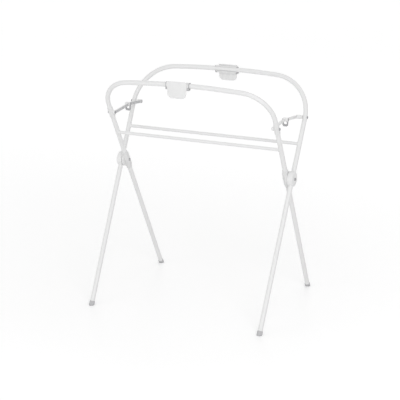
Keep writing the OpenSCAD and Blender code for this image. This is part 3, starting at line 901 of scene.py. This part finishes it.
@dataclass
class Hub:
    """A hub: a drum on the outer leg, and a sleeve with collars and a flange on the inner leg.

    Args:
        side: The side that it is for.
    """

    side: Side
    drum_d: float = 62.0
    drum_wall: float = 1.4
    drum_round: float = 5.0
    drum_segments: int = 8
    drum_steps: int = 96
    dish: float = 0.7
    boss_r: float = 10.5
    # The drum's parting groove, which starts at a share of its depth
    seam_at: float = 0.42
    seam_w: float = 1.0
    seam_depth: float = 0.3
    sleeve_d: float = 30.0
    sleeve_len: float = 66.0
    sleeve_wall: float = 2.0
    sleeve_round: Rounding = (1.9, 6)
    sleeve_steps: int = 64
    collar_d: float = 23.6
    collar_len: float = 90.0
    collar_round: Rounding = (0.9, 4)
    flange_d: float = 59.0
    flange_t: float = 10.0
    flange_round: float = 4.0
    flange_segments: int = 7
    flange_steps: int = 88
    # How far the sleeve is cut short of the flange's face
    cut_back: float = 0.05
    # The rounding of the rims where the two halves meet
    meet_round: Rounding = (0.8, 3)
    # The drum's radial ribs, whose tops and feet lie this far below its rim
    ribs: int = 8
    rib_w: float = 1.4
    rib_top: float = 0.15
    rib_foot: float = 1.2
    rib_run_in: float = 0.5
    rib_round: float = 0.25

    @property
    def drum_out_x(self) -> float:
        """The drum's outer face."""
        return SIZES.outer_half_w + SIZES.tube_r + self.drum_wall

    @property
    def sleeve_in_x(self) -> float:
        """The sleeve's inner face."""
        return SIZES.inner_half_w - SIZES.tube_r - self.sleeve_wall

    def drum(self) -> None:
        """Makes the drum: rounded rim, parting groove, dished face with radial ribs, centre boss."""
        face = SIZES.hub_mid_x + SIZES.hub_gap_half
        depth, r = self.drum_out_x - face, self.drum_d / 2
        rim, floor = r - self.drum_round, depth - self.dish
        seam, seam_r = depth * self.seam_at, r - self.seam_depth
        seam_end = seam + self.seam_w
        shape = Shaper.turned(Axis.X, self.drum_steps, [
            (0, 0), (0, r, *self.meet_round), (seam, r), (seam + self.seam_depth, seam_r),
            (seam_end - self.seam_depth, seam_r), (seam_end, r),
            (depth, r, self.drum_round - SHY, self.drum_segments), (depth, rim),
            (floor, rim - self.dish), (floor, self.boss_r + self.dish), (depth, self.boss_r), (depth, 0)])
        for i in range(self.ribs):
            rib = Shaper()
            rib.block((depth - self.rib_foot, -self.rib_w / 2, self.boss_r - self.rib_run_in),
                      (depth - self.rib_top, self.rib_w / 2, rim), self.rib_round)
            rib.place(Matrix.Rotation(2 * math.pi * (i + 0.5) / self.ribs, 4, "X"))
            shape.add(rib)
        shape.place(Matrix.Translation((face, 0, SIZES.hub_h)))
        shape.place(mirrored(self.side))
        shape.finish(f"hub_drum_{self.side.tag}", "outer_frame", HUB, (f"outer_hub_{self.side.tag}",))

    def sleeve(self) -> None:
        """Makes the sleeve on the inner leg, its thin collars and the flange that faces the drum."""
        face = SIZES.hub_mid_x - SIZES.hub_gap_half
        half, reach = self.sleeve_len / 2, self.collar_len / 2
        rim = (self.sleeve_d / 2, *self.sleeve_round)
        collar_r, collar_rim = self.collar_d / 2, (self.collar_d / 2, *self.collar_round)
        shape = Shaper.turned(Axis.Z, self.sleeve_steps, [
            (-reach, 0), (-reach, *collar_rim), (-half, collar_r), (-half, *rim),
            (half, *rim), (half, collar_r), (reach, *collar_rim), (reach, 0)])
        shape.place(SIZES.leg(Frame.INNER))
        shape.cut((face - self.cut_back, 0, 0), (1, 0, 0))
        shape.cut((self.sleeve_in_x, 0, 0), (-1, 0, 0))
        flange = Shaper.turned(Axis.X, self.flange_steps, [
            (0, 0), (0, self.flange_d / 2, *self.meet_round),
            (self.flange_t, self.flange_d / 2, self.flange_round - SHY, self.flange_segments),
            (self.flange_t, 0)])
        flange.place(Matrix.Translation((face, 0, SIZES.hub_h)) @ mirrored(Side.LEFT))
        shape.add(flange)
        shape.place(mirrored(self.side))
        shape.finish(f"hub_sleeve_{self.side.tag}", "inner_frame", SLEEVE,
                     (f"inner_hub_{self.side.tag}",))

    def build(self) -> None:
        """Builds the two plastic halves."""
        self.drum()
        self.sleeve()


@dataclass
class HubHardware:
    """The pivot bolts and nuts of both hubs, and the friction washers between their halves.

    Args:
        hub: A hub that they fit.
    """

    hub: Hub
    bolt: Fastener = Fastener(12.6, 4.4, 6.4)
    nut: Fastener = Fastener(12.6, 4.2)
    head_gap: float = 0.08

    def build(self, frame: dict) -> None:
        """Builds the bolts and nuts and finishes the washers.
        """
        bolts, nuts = Shaper(), Shaper()
        for side in Side:
            out_x, in_x = self.hub.drum_out_x + self.head_gap, self.hub.sleeve_in_x
            bolts.add(self.bolt.placed((out_x, 0, SIZES.hub_h), Side.RIGHT, side))
            nuts.add(self.nut.placed((in_x, 0, SIZES.hub_h), Side.LEFT, side))
        bolts.finish("pivot_bolt_heads", "inner_frame", STEEL, ("pivot_bolts",))
        nuts.finish("pivot_cap_nuts", "inner_frame", STEEL, ("pivot_nuts",))
        washers = frame["nodes"]["hub_washers"]
        washers.data.materials.clear()
        washers.data.materials.append(WASHER.material())


@dataclass
class Stay:
    """One folding stay: a clamp, two links with a finger loop, a spacer and a knuckle pin.

    Args:
        side: The side that it is for.
    """

    side: Side
    link_t: float = 6.5
    link_h: float = 12.5
    link_gap: float = 0.3
    link_round: float = 0.7
    link_steps: int = 40
    eye_d: float = 17.0
    eye_round: float = 0.9
    # A link's rims, and how far they start from its holes
    rim_w: float = 2.2
    rim_start: float = 2.0
    rim_round: float = 0.55
    # The pockets between the rims: their floor runs into the eye and stops short of the knuckle
    pocket_depth: float = 1.6
    pocket_inset: float = 0.8
    floor_in_eye: float = 1.0
    floor_end: float = 4.0
    floor_round: float = 0.2
    # The pockets' cross ribs: from the floor's start, from the link's middle and from the knuckle
    rib_first: float = 2.0
    ribs_middle: tuple[float, ...] = (-6.0, 18.0)
    rib_last: float = 13.0
    rib_w: float = 1.6
    rib_inset: float = 0.25
    rib_round: float = 0.3
    paddle_len: float = 28.0
    paddle_t: float = 7.0
    paddle_w: float = 11.7
    paddle_round: float = 1.2
    loop_rim: float = 5.0
    loop_bar: float = 8.8
    # Where the loop's upright starts, below the knuckle
    loop_start: float = 4.0
    loop_out_round: Rounding = (7.0, 8)
    loop_in_round: Rounding = (3.0, 5)
    # The grip ridges on both faces of the loop's bar, from its free end
    ridges: tuple[float, ...] = (2.4, 4.6, 6.8)
    ridge_w: float = 1.1
    ridge_t: float = 0.8
    ridge_proud: float = 0.2
    ridge_inset: float = 1.3
    pin_d: float = 6.0
    bore_play: float = 0.16
    bolt_sunk: float = 1.4
    bolt_round: float = 0.5
    head_d: float = 12.0
    head_h: float = 2.4
    head_gap: float = 0.1
    rivet_gap: float = 0.08
    clamp_d: float = 24.4
    clamp_len: float = 45.0
    clamp_round: Rounding = (0.9, 4)
    clamp_steps: int = 56
    # The raised bands at the clamp's ends
    band_w: float = 4.0
    band_h: float = 0.5
    boss_reach: float = 6.0
    boss_round: float = 0.5
    spacer_d: float = 15.0
    spacer_round: Rounding = (0.6, 3)
    spacer_fit: float = 0.6
    # The spacer's waist: where it starts and is full, from its inner and from its outer end
    waist_in: tuple[float, float] = (2.5, 3.6)
    waist_out: tuple[float, float] = (2.0, 3.0)
    waist_depth: float = 1.2
    proud: float = 0.05

    @property
    def clamp_face_x(self) -> float:
        """The flat face of the clamp that the front link turns on."""
        return SIZES.stay_leg_x - self.clamp_d / 2

    @property
    def front_link_x(self) -> float:
        """The front link's inboard face."""
        return self.clamp_face_x - self.link_gap - self.link_t

    @property
    def rear_link_x(self) -> float:
        """The rear link's inboard face."""
        return self.front_link_x + self.link_t + self.link_gap

    @property
    def boss_end_x(self) -> float:
        """The end of the rear link's boss."""
        return SIZES.stay_leg_x + self.boss_reach

    @property
    def link_len(self) -> float:
        """The distance between a link's two holes."""
        return math.hypot(SIZES.half_span, SIZES.knuckle_rise)

    def _bar(self, x0: float, which: Frame) -> Shaper:
        """Shapes a link's flat bar with pockets on both sides, from its pivot to the knuckle.

        Args:
            x0: Its inboard face.
            which: The frame that its pivot is on. On the outer one, a boss makes that end.

        Returns:
            The shaped bar.
        """
        made, length, wall = Shaper(), self.link_len, self.link_h / 2
        ends = [(length, self.link_h)]
        if which is Frame.INNER:
            ends.insert(0, (0.0, self.eye_d))
        for x, d in ends:
            end = Shaper()
            bmesh.ops.create_circle(end.bm, cap_ends=True, segments=self.link_steps, radius=d / 2,
                                    matrix=Matrix.Translation((x, 0, 0)))
            end.thicken((0, 0, self.link_t), self.link_round)
            made.add(end)
        for low in (-wall, wall - self.rim_w):
            made.block((self.rim_start, low, 0), (length - self.rim_start, low + self.rim_w, self.link_t),
                       self.rim_round)
        start, edge = self.eye_d / 2 - self.floor_in_eye, wall - self.pocket_inset
        made.block((start, -edge, self.pocket_depth),
                   (length - self.floor_end, edge, self.link_t - self.pocket_depth), self.floor_round)
        middles = [length / 2 + place for place in self.ribs_middle]
        for x in (start + self.rib_first, *middles, length - self.rib_last):
            made.block((x - self.rib_w / 2, -edge, self.rib_inset),
                       (x + self.rib_w / 2, edge, self.link_t - self.rib_inset), self.rib_round)
        rise = math.atan2(SIZES.knuckle_rise, SIZES.half_span)
        turn = rise if which is Frame.INNER else math.pi - rise
        made.place(STOOD_UP)
        made.place(Matrix.Translation((x0, *SIZES.pivot(which))) @ Matrix.Rotation(turn, 4, "X"))
        return made

    def _paddle(self, x0: float, upright: Side) -> Shaper:
        """Shapes half of the finger loop, an L below the knuckle's eye.

        Args:
            x0: Its lowest face along X.
            upright: The end along X that its upright is at.

        Returns:
            The shaped half, with the L in the loop's finish.
        """
        made, half_t, w, way = Shaper(), self.paddle_t / 2, self.paddle_w, upright.value
        low, high = SIZES.knuckle_h - self.paddle_len, SIZES.knuckle_h - self.loop_start
        bar, inner = low + self.loop_bar, w - self.loop_rim
        free = x0 if upright is Side.RIGHT else x0 + w
        outline = [(w, high), (w, low, *self.loop_out_round), (0, low), (0, bar),
                   (inner, bar, *self.loop_in_round), (inner, high)]
        made.wire([(free + way * u, -half_t, z, *rounding) for u, z, *rounding in outline], closed=True)
        made.fill()
        made.thicken((0, self.paddle_t, 0), self.paddle_round)
        for u in self.ridges:
            x0_ridge, x1_ridge = free + way * u - self.ridge_w / 2, free + way * u + self.ridge_w / 2
            for y in (-half_t - self.ridge_proud, half_t + self.ridge_proud - self.ridge_t):
                made.block((x0_ridge, y, low + self.ridge_inset),
                           (x1_ridge, y + self.ridge_t, bar - self.ridge_inset), self.rib_round)
        made.paint(LOOP_PLACE)
        made.add(round_boss(x0, x0 + w, self.eye_d, (0, SIZES.knuckle_h), self.eye_round))
        return made

    def _finish_link(self, shape: Shaper, end: str) -> None:
        """Finishes a link, whose back is painted darker as shade and whose finger loop is darker.

        Args:
            shape: The shaped link, on the right side.
            end: The stay's end that it is, front or rear.
        """
        body = f"{end}_link_{self.side.tag}"
        shape.place(mirrored(self.side))
        shape.finish(f"stay_{end}_{self.side.tag}", body, STAY, (body,), (STAY_BACK_SHADE, STAY_LOOP),
                     -self.side.value)

    def front_link(self) -> None:
        """Makes the front link, with its eye on the clamp."""
        shape = self._bar(self.front_link_x, Frame.INNER)
        shape.add(self._paddle(self.front_link_x + self.link_t - self.paddle_w - self.proud, Side.LEFT))
        self._finish_link(shape, "front")

    def rear_link(self) -> None:
        """Makes the rear link with its boss, and the bolt's end in that."""
        face, at = self.rear_link_x - self.proud, SIZES.pivot(Frame.OUTER)
        shape = self._bar(self.rear_link_x, Frame.OUTER)
        shape.add(self._paddle(face, Side.RIGHT))
        shape.add(round_boss(face, self.boss_end_x, self.eye_d, at, self.eye_round,
                             self.pin_d + self.bore_play))
        self._finish_link(shape, "rear")
        end = round_boss(face + self.bolt_sunk, self.boss_end_x, self.pin_d, at, self.bolt_round)
        end.place(mirrored(self.side))
        end.finish(f"stay_bolt_end_{self.side.tag}", f"rear_link_{self.side.tag}", STEEL)

    def rivet(self) -> None:
        """Makes the two heads of the knuckle's pin."""
        shape, head = Shaper(), Fastener(self.head_d, self.head_h)
        low, high = self.front_link_x + self.link_t - self.paddle_w, self.rear_link_x + self.paddle_w
        for x, faces in ((low, Side.LEFT), (high + self.rivet_gap, Side.RIGHT)):
            shape.add(head.placed((x, 0, SIZES.knuckle_h), faces, self.side))
        shape.finish(f"knuckle_rivet_{self.side.tag}", f"front_link_{self.side.tag}", STEEL,
                     (f"knuckle_pin_{self.side.tag}",))

    def clamp(self) -> None:
        """Makes the clamp sleeve on the inner leg, with a raised band at each end."""
        r, half, band = self.clamp_d / 2, self.clamp_len / 2, self.clamp_len / 2 - self.band_w
        sunk_r, sunk = r - self.band_h, band - self.band_h
        shape = Shaper.turned(Axis.Z, self.clamp_steps, [
            (-half, 0), (-half, r, *self.clamp_round), (-band, r), (-sunk, sunk_r),
            (sunk, sunk_r), (band, r), (half, r, *self.clamp_round), (half, 0)])
        shape.place(SIZES.leg(Frame.INNER) @ Matrix.Translation((0, 0, SIZES.stay_pivot_s)))
        shape.add(round_boss(self.clamp_face_x, SIZES.stay_leg_x, self.eye_d, SIZES.pivot(Frame.INNER),
                             self.boss_round))
        shape.place(mirrored(self.side))
        shape.finish(f"stay_sleeve_{self.side.tag}", "inner_frame", CLAMP,
                     (f"stay_clamp_{self.side.tag}",))

    def spacer(self) -> None:
        """Makes the waisted spacer on the outer leg."""
        x0, x1 = self.boss_end_x + self.link_gap, SIZES.rear_leg_x - SIZES.tube_r - self.spacer_fit
        r, waist_r = self.spacer_d / 2, self.spacer_d / 2 - self.waist_depth
        shape = Shaper.turned(Axis.X, ROUND_STEPS, [
            (x0, 0), (x0, r, *self.spacer_round), (x0 + self.waist_in[0], r),
            (x0 + self.waist_in[1], waist_r), (x1 - self.waist_out[1], waist_r),
            (x1 - self.waist_out[0], r), (x1, r, *self.spacer_round), (x1, 0)])
        shape.place(Matrix.Translation((0, *SIZES.pivot(Frame.OUTER))))
        shape.place(mirrored(self.side))
        shape.finish(f"stay_collar_{self.side.tag}", "outer_frame", STAY,
                     (f"stay_spacer_{self.side.tag}",))

    def build(self) -> None:
        """Builds the stay."""
        self.clamp()
        self.front_link()
        self.rear_link()
        self.rivet()
        self.spacer()


@dataclass
class StayHardware:
    """The bolts and nuts of both stays.

    Args:
        stay: A stay that they fit.
    """

    stay: Stay
    socket_d: float = 5.2
    end_sunk: float = 1.0
    end_round: float = 0.6
    nut_round: Rounding = (0.35, 2)

    def _nut(self, x0: float) -> Shaper:
        """Shapes a hexagonal nut on the right clamp's outer side.

        Args:
            x0: The clamp's outer side.

        Returns:
            The shaped nut.
        """
        made, r, depth = Shaper(), self.stay.head_d / 2, self.stay.head_h - self.stay.head_gap
        middle = (x0 + self.stay.head_gap + depth / 2, *SIZES.pivot(Frame.INNER))
        bmesh.ops.create_cone(made.bm, cap_ends=True, segments=6, radius1=r, radius2=r, depth=depth,
                              matrix=Matrix.Translation(middle) @ LAID_DOWN)
        made.round_sharp(*self.nut_round)
        return made

    def build(self) -> None:
        """Builds the front bolts and nuts and the rear bolts."""
        stay, front, nuts, rear = self.stay, Shaper(), Shaper(), Shaper()
        head, at = Fastener(stay.head_d, stay.head_h, self.socket_d), SIZES.pivot(Frame.INNER)
        x0 = SIZES.stay_leg_x + stay.clamp_d / 2
        rear_at = (SIZES.rear_leg_x + SIZES.tube_r + stay.head_gap, *SIZES.pivot(Frame.OUTER))
        for side in Side:
            front.add(head.placed((stay.front_link_x - stay.link_gap, *at), Side.LEFT, side))
            end = round_boss(x0 - self.end_sunk, x0 + stay.head_h, stay.pin_d, at, self.end_round)
            end.place(mirrored(side))
            front.add(end)
            nut = self._nut(x0)
            nut.place(mirrored(side))
            nuts.add(nut)
            rear.add(head.placed(rear_at, Side.RIGHT, side))
        front.finish("stay_front_bolts", "inner_frame", STEEL, ("front_stay_bolts",))
        nuts.finish("stay_front_nuts", "inner_frame", STEEL, ("front_stay_nuts",))
        rear.finish("stay_rear_bolts", "outer_frame", STEEL, ("rear_stay_bolts",))


@dataclass
class BathClip:
    """A clip on a top bar: a snap-on jaw and the plate that keeps the bath from sliding.

    Args:
        which: The frame whose top bar it is on.
        x: Its place along the bar.
    """

    which: Frame
    x: float
    jaw_len: float = 103.0
    jaw_in_r: float = 11.0
    jaw_wall: float = 2.4
    jaw_round: float = 0.5
    jaw_steps: int = 44
    keel_depth: float = 18.0
    keel_w: float = 9.0
    keel_round: float = 1.0
    # How far below the jaw's inside the keel starts, and its back below the bar's middle
    keel_start: float = 1.0
    back_start: float = 7.0
    back_overlap: float = 3.0
    mouth: float = math.radians(55)
    lip_r: float = 1.7
    lip_bead: float = 0.25
    lip_inset: float = 0.3
    tip_collar: float = 2.5
    tip_keel: float = 8.0
    # The keel's cross ribs, how far they stand out, and their gaps to its bottom and the jaw's inside
    web_count: int = 5
    web_pitch: float = 19.75
    web_w: float = 1.6
    web_out: float = 2.5
    web_low: float = 0.5
    web_high: float = 0.6
    top_w: float = 88.0
    bottom_w: float = 78.0
    rise: float = 17.0
    drop: float = 52.0
    thick: float = 3.0
    plate_round: float = 0.9
    top_round: Rounding = (2.5, 5)
    corner_r: float = 20.0
    corner_segments: int = 12
    # The share of a lower corner's radius that its rounding takes off the edges
    corner_share: float = 0.92
    # How far the lower corners' edges meet outside the bottom's width
    corner_out: float = 1.4
    # The plate's upright ribs, and the bead behind its top edge
    rib_count: int = 4
    rib_pitch: float = 16.0
    rib_w: float = 1.6
    rib_h: float = 1.6
    rib_sunk: float = 0.6
    rib_end_gap: float = 3.0
    rib_round: float = 0.4
    bead_w: float = 2.0
    bead_h: float = 2.2
    bead_sunk: float = 0.8
    bead_round: float = 0.5
    bead_top_gap: float = 2.2
    bead_side_gap: float = 4.0

    @property
    def prefix(self) -> str:
        """How the clip's nodes and body start."""
        return "front_clip" if self.which is Frame.INNER else "rear_clip"

    def placing(self) -> Matrix:
        """Works out the clip's placing, as the bowed bar sags under it.

        Returns:
            The matrix, with +Y away from the middle of the stand and Z = 0 at the bar.
        """
        sag = (self.x ** 2 + (self.jaw_len / 2) ** 2 / 2) / (2 * SIZES.bow_r(self.which))
        upright = Matrix.Rotation(self.which.value * SIZES.frame_angle, 4, "X")
        flip = Matrix.Diagonal((1, self.which.value, 1, 1))
        place = Matrix.Translation((self.x, 0, SIZES.top_s - sag))
        return SIZES.plane(self.which) @ place @ upright @ flip

    def _collar(self, x0: float, x1: float) -> Shaper:
        """Shapes a run of the C round the bar, with the bead along each of its lips.

        Args:
            x0: Where the run starts along the bar.
            x1: Where it ends.

        Returns:
            The shaped run.
        """
        shape, y, z = Shaper(), -math.cos(self.mouth), -math.sin(self.mouth)
        shape.wire([(x0, y * r, z * r) for r in (self.jaw_in_r, self.jaw_in_r + self.jaw_wall)])
        bmesh.ops.spin(shape.bm, geom=shape.bm.verts[:] + shape.bm.edges[:], cent=(x0, 0, 0),
                       axis=Axis.X.value, angle=2 * (math.pi - self.mouth), steps=self.jaw_steps)
        shape.thicken((x1 - x0, 0, 0), self.jaw_round)
        lip = self.jaw_in_r + self.lip_r - self.lip_bead
        for sign in (-1, 1):
            shape.add(round_boss(x0 + self.lip_inset, x1 - self.lip_inset, 2 * self.lip_r,
                                 (lip * y, -sign * lip * z), self.jaw_round))
        return shape

    def _keel(self, shape: Shaper, x0: float, x1: float) -> None:
        """Adds a run of the keel below the bar, and of the back that carries the plate.

        Args:
            shape: The shaper that takes it.
            x0: Where the run starts along the bar.
            x1: Where it ends.
        """
        low, half = -self.keel_depth, self.keel_w / 2
        shape.block((x0, -half, low), (x1, half, -self.jaw_in_r - self.keel_start), self.keel_round)
        shape.block((x0, half - self.back_overlap, low),
                    (x1, self.jaw_in_r + self.jaw_wall, -self.back_start), self.keel_round)

    def jaw(self) -> None:
        """Makes the jaw with its cross ribs, and its two ends, coloured darker as painted shade."""
        far, half, tips = self.jaw_len / 2, self.keel_w / 2, Shaper()
        shape = self._collar(self.tip_collar - far, far - self.tip_collar)
        self._keel(shape, self.tip_keel - far, far - self.tip_keel)
        for x in spread(self.web_count, self.web_pitch):
            shape.block((x - self.web_w / 2, -half - self.web_out, -self.keel_depth + self.web_low),
                        (x + self.web_w / 2, half, -self.jaw_in_r - self.web_high), self.rib_round)
        shape.place(self.placing())
        shape.finish(f"{self.prefix}_snap_jaw", self.prefix, JAW, (f"{self.prefix}_jaw",))
        # The two ends are made apart and coloured darker as painted shade
        for sign in (-1, 1):
            tips.add(self._collar(*sorted((sign * far, sign * (far - self.tip_collar)))))
            self._keel(tips, *sorted((sign * far, sign * (far - self.tip_keel))))
        tips.place(self.placing())
        tips.finish(f"{self.prefix}_jaw_tips", self.prefix, JAW_END_SHADE)

    def plate(self) -> None:
        """Makes the plate: a tapered shield with round lower corners, upright ribs and a top bead."""
        y0, half_t = self.jaw_in_r + self.jaw_wall, self.top_w / 2
        half_b, round_len = self.bottom_w / 2 + self.corner_out, self.corner_r * self.corner_share
        shape = Shaper()
        low, high = (0, -self.drop, round_len, self.corner_segments), (0, self.rise, *self.top_round)
        shape.wire([(-half_t, *high), (-half_b, *low), (half_b, *low), (half_t, *high)], closed=True)
        shape.fill()
        shape.thicken((0, self.thick, 0), self.plate_round)
        shape.place(Matrix.Translation((0, y0, 0)))
        for x in spread(self.rib_count, self.rib_pitch):
            shape.block((x - self.rib_w / 2, y0 - self.rib_h, -self.drop + self.rib_end_gap),
                        (x + self.rib_w / 2, y0 + self.rib_sunk, -self.keel_depth - self.rib_end_gap),
                        self.rib_round)
        reach, bead_top = half_t - self.bead_side_gap, self.rise - self.bead_top_gap
        shape.block((-reach, y0 - self.bead_h, bead_top - self.bead_w),
                    (reach, y0 + self.bead_sunk, bead_top), self.bead_round)
        shape.place(self.placing())
        shape.finish(f"{self.prefix}_shield", self.prefix, CLIP, (f"{self.prefix}_plate",))

    def build(self) -> None:
        """Builds the clip."""
        self.jaw()
        self.plate()


@dataclass(frozen=True)
class Lamp:
    """A square soft lamp, in metres and watts.

    Args:
        name: Its name.
        place: Where it hangs.
        size: The length of its sides.
        power: Its power.
    """

    name: str
    place: Point
    size: float
    power: float


def aim(thing: bpy.types.Object, place: Point, way: Vector) -> None:
    """Puts a lamp or a camera in its place.

    Args:
        thing: The lamp or camera.
        place: Where it goes.
        way: The way that it looks.
    """
    thing.location = place
    thing.rotation_euler = way.to_track_quat("-Z", "Y").to_euler()


@dataclass
class Studio:
    """The camera, the pale floor and the soft light, with their places in metres."""

    eye: Point = (2.0357, -4.3610, 1.8531)
    view: Point = (-0.40896, 0.86747, -0.28328)
    lens: float = 106.5
    sensor: float = 36.0
    lit_point: Point = (0.0, 0.0, 0.5)
    lamps: tuple[Lamp, ...] = (
        Lamp("key", (2.6, -3.6, 2.2), 2.6, 62.0),
        Lamp("fill", (-2.4, -3.0, 1.6), 2.6, 18.0),
        Lamp("top", (0.0, 0.6, 4.0), 3.2, 8.0),
        Lamp("rear", (0.6, 3.6, 3.2), 3.0, 14.0))
    # The strength of the surroundings, where they only light
    room: float = 0.62
    floor_half: float = 30.0
    floor_grey: float = 0.9
    floor_roughness: float = 0.35
    # The floor's own glow, as a distance from the middle and its strength there
    near_glow: tuple[float, float] = (0.7, 0.19)
    far_glow: tuple[float, float] = (4.0, 0.32)

    def camera(self) -> None:
        """Sets the camera at the photograph's viewing angle."""
        data = bpy.data.cameras.new("camera")
        data.sensor_width, data.lens = self.sensor, self.lens
        camera = put_in_scene("camera", data)
        aim(camera, self.eye, Vector(self.view))
        bpy.context.scene.camera = camera

    def light(self) -> None:
        """Hangs the soft lamps, aimed at the middle of the stand."""
        for lamp in self.lamps:
            data = bpy.data.lights.new(lamp.name, "AREA")
            data.size, data.energy = lamp.size, lamp.power
            hung = put_in_scene(lamp.name, data)
            hung.visible_camera = False
            aim(hung, lamp.place, Vector(self.lit_point) - Vector(lamp.place))

    @staticmethod
    def _seen(tree: bpy.types.NodeTree, unseen: float) -> bpy.types.Node:
        """Adds a value that is 1 for the rays that show the background.

        Args:
            tree: The tree that gets it.
            unseen: The value for the rays that only light.

        Returns:
            The node whose Result is the value.
        """
        path = add_node(tree, "LightPath")
        first, second = (add_node(tree, "Math", operation="MAXIMUM") for _ in range(2))
        span = add_node(tree, "MapRange", {"To Min": unseen, "To Max": 1.0})
        join(tree,
             (path, "Is Camera Ray", first, 0), (path, "Is Glossy Ray", first, 1),
             (first, "Value", second, 0), (path, "Is Transmission Ray", second, 1),
             (second, "Value", span, "Value"))
        return span

    def world(self) -> None:
        """Makes the surroundings white where they are seen, and softer where they light."""
        world = bpy.data.worlds.new("white_room")
        world.use_nodes = True
        tree = world.node_tree
        background = tree.nodes["Background"]
        background.inputs["Color"].default_value = (1, 1, 1, 1)
        join(tree, (self._seen(tree, self.room), "Result", background, "Strength"))
        bpy.context.scene.world = world

    def _floor_finish(self) -> bpy.types.Material:
        """Makes the floor's pale finish, which glows white where it is seen.

        Returns:
            The material.
        """
        mat = bpy.data.materials.new("pale_floor")
        mat.use_nodes = True
        tree = mat.node_tree
        shader = tree.nodes["Principled BSDF"]
        shader.inputs["Base Color"].default_value = (*[self.floor_grey] * 3, 1)
        shader.inputs["Roughness"].default_value = self.floor_roughness
        shader.inputs["Emission Color"].default_value = (1, 1, 1, 1)
        coords, far = add_node(tree, "TexCoord"), add_node(tree, "VectorMath", operation="LENGTH")
        glow = add_node(tree, "MapRange", {
            "From Min": self.near_glow[0], "To Min": self.near_glow[1],
            "From Max": self.far_glow[0], "To Max": self.far_glow[1]})
        times = add_node(tree, "Math", operation="MULTIPLY")
        join(tree,
             (coords, "Object", far, 0), (far, "Value", glow, "Value"), (glow, "Result", times, 0),
             (self._seen(tree, 0.0), "Result", times, 1), (times, "Value", shader, "Emission Strength"))
        return mat

    def floor(self) -> None:
        """Lays the pale floor, which keeps the stand's shadow."""
        bm = bmesh.new()
        bmesh.ops.create_grid(bm, x_segments=1, y_segments=1, size=self.floor_half)
        mesh = bpy.data.meshes.new("pale_floor")
        bm.to_mesh(mesh)
        bm.free()
        floor = put_in_scene("pale_floor", mesh)
        mesh.materials.append(self._floor_finish())

    def build(self) -> None:
        """Sets the whole stage."""
        self.camera()
        self.light()
        self.world()
        self.floor()
        bpy.context.scene.view_settings.view_transform = "Standard"


def corners(bounds: tuple[Vector, Vector]) -> list[list[float]]:
    """Returns a box's two corners as plain lists."""
    return [[float(c) for c in corner] for corner in bounds]


def main() -> None:
    """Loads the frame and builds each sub-assembly."""
    logging.basicConfig(level=logging.INFO, format="%(name)s: %(message)s")
    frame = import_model()
    Studio().build()
    TubeFrame(Frame.INNER, corner_r=128.0, bar_h=705.7).build()
    TubeFrame(Frame.OUTER, corner_r=174.0, bar_h=702.0).build()
    for side in Side:
        Hub(side).build()
        Stay(side).build()
    HubHardware(Hub(Side.RIGHT)).build(frame)
    StayHardware(Stay(Side.RIGHT)).build()
    BathClip(Frame.INNER, x=-17.0).build()
    BathClip(Frame.OUTER, x=7.0).build()


if __name__ == "__main__":
    main()
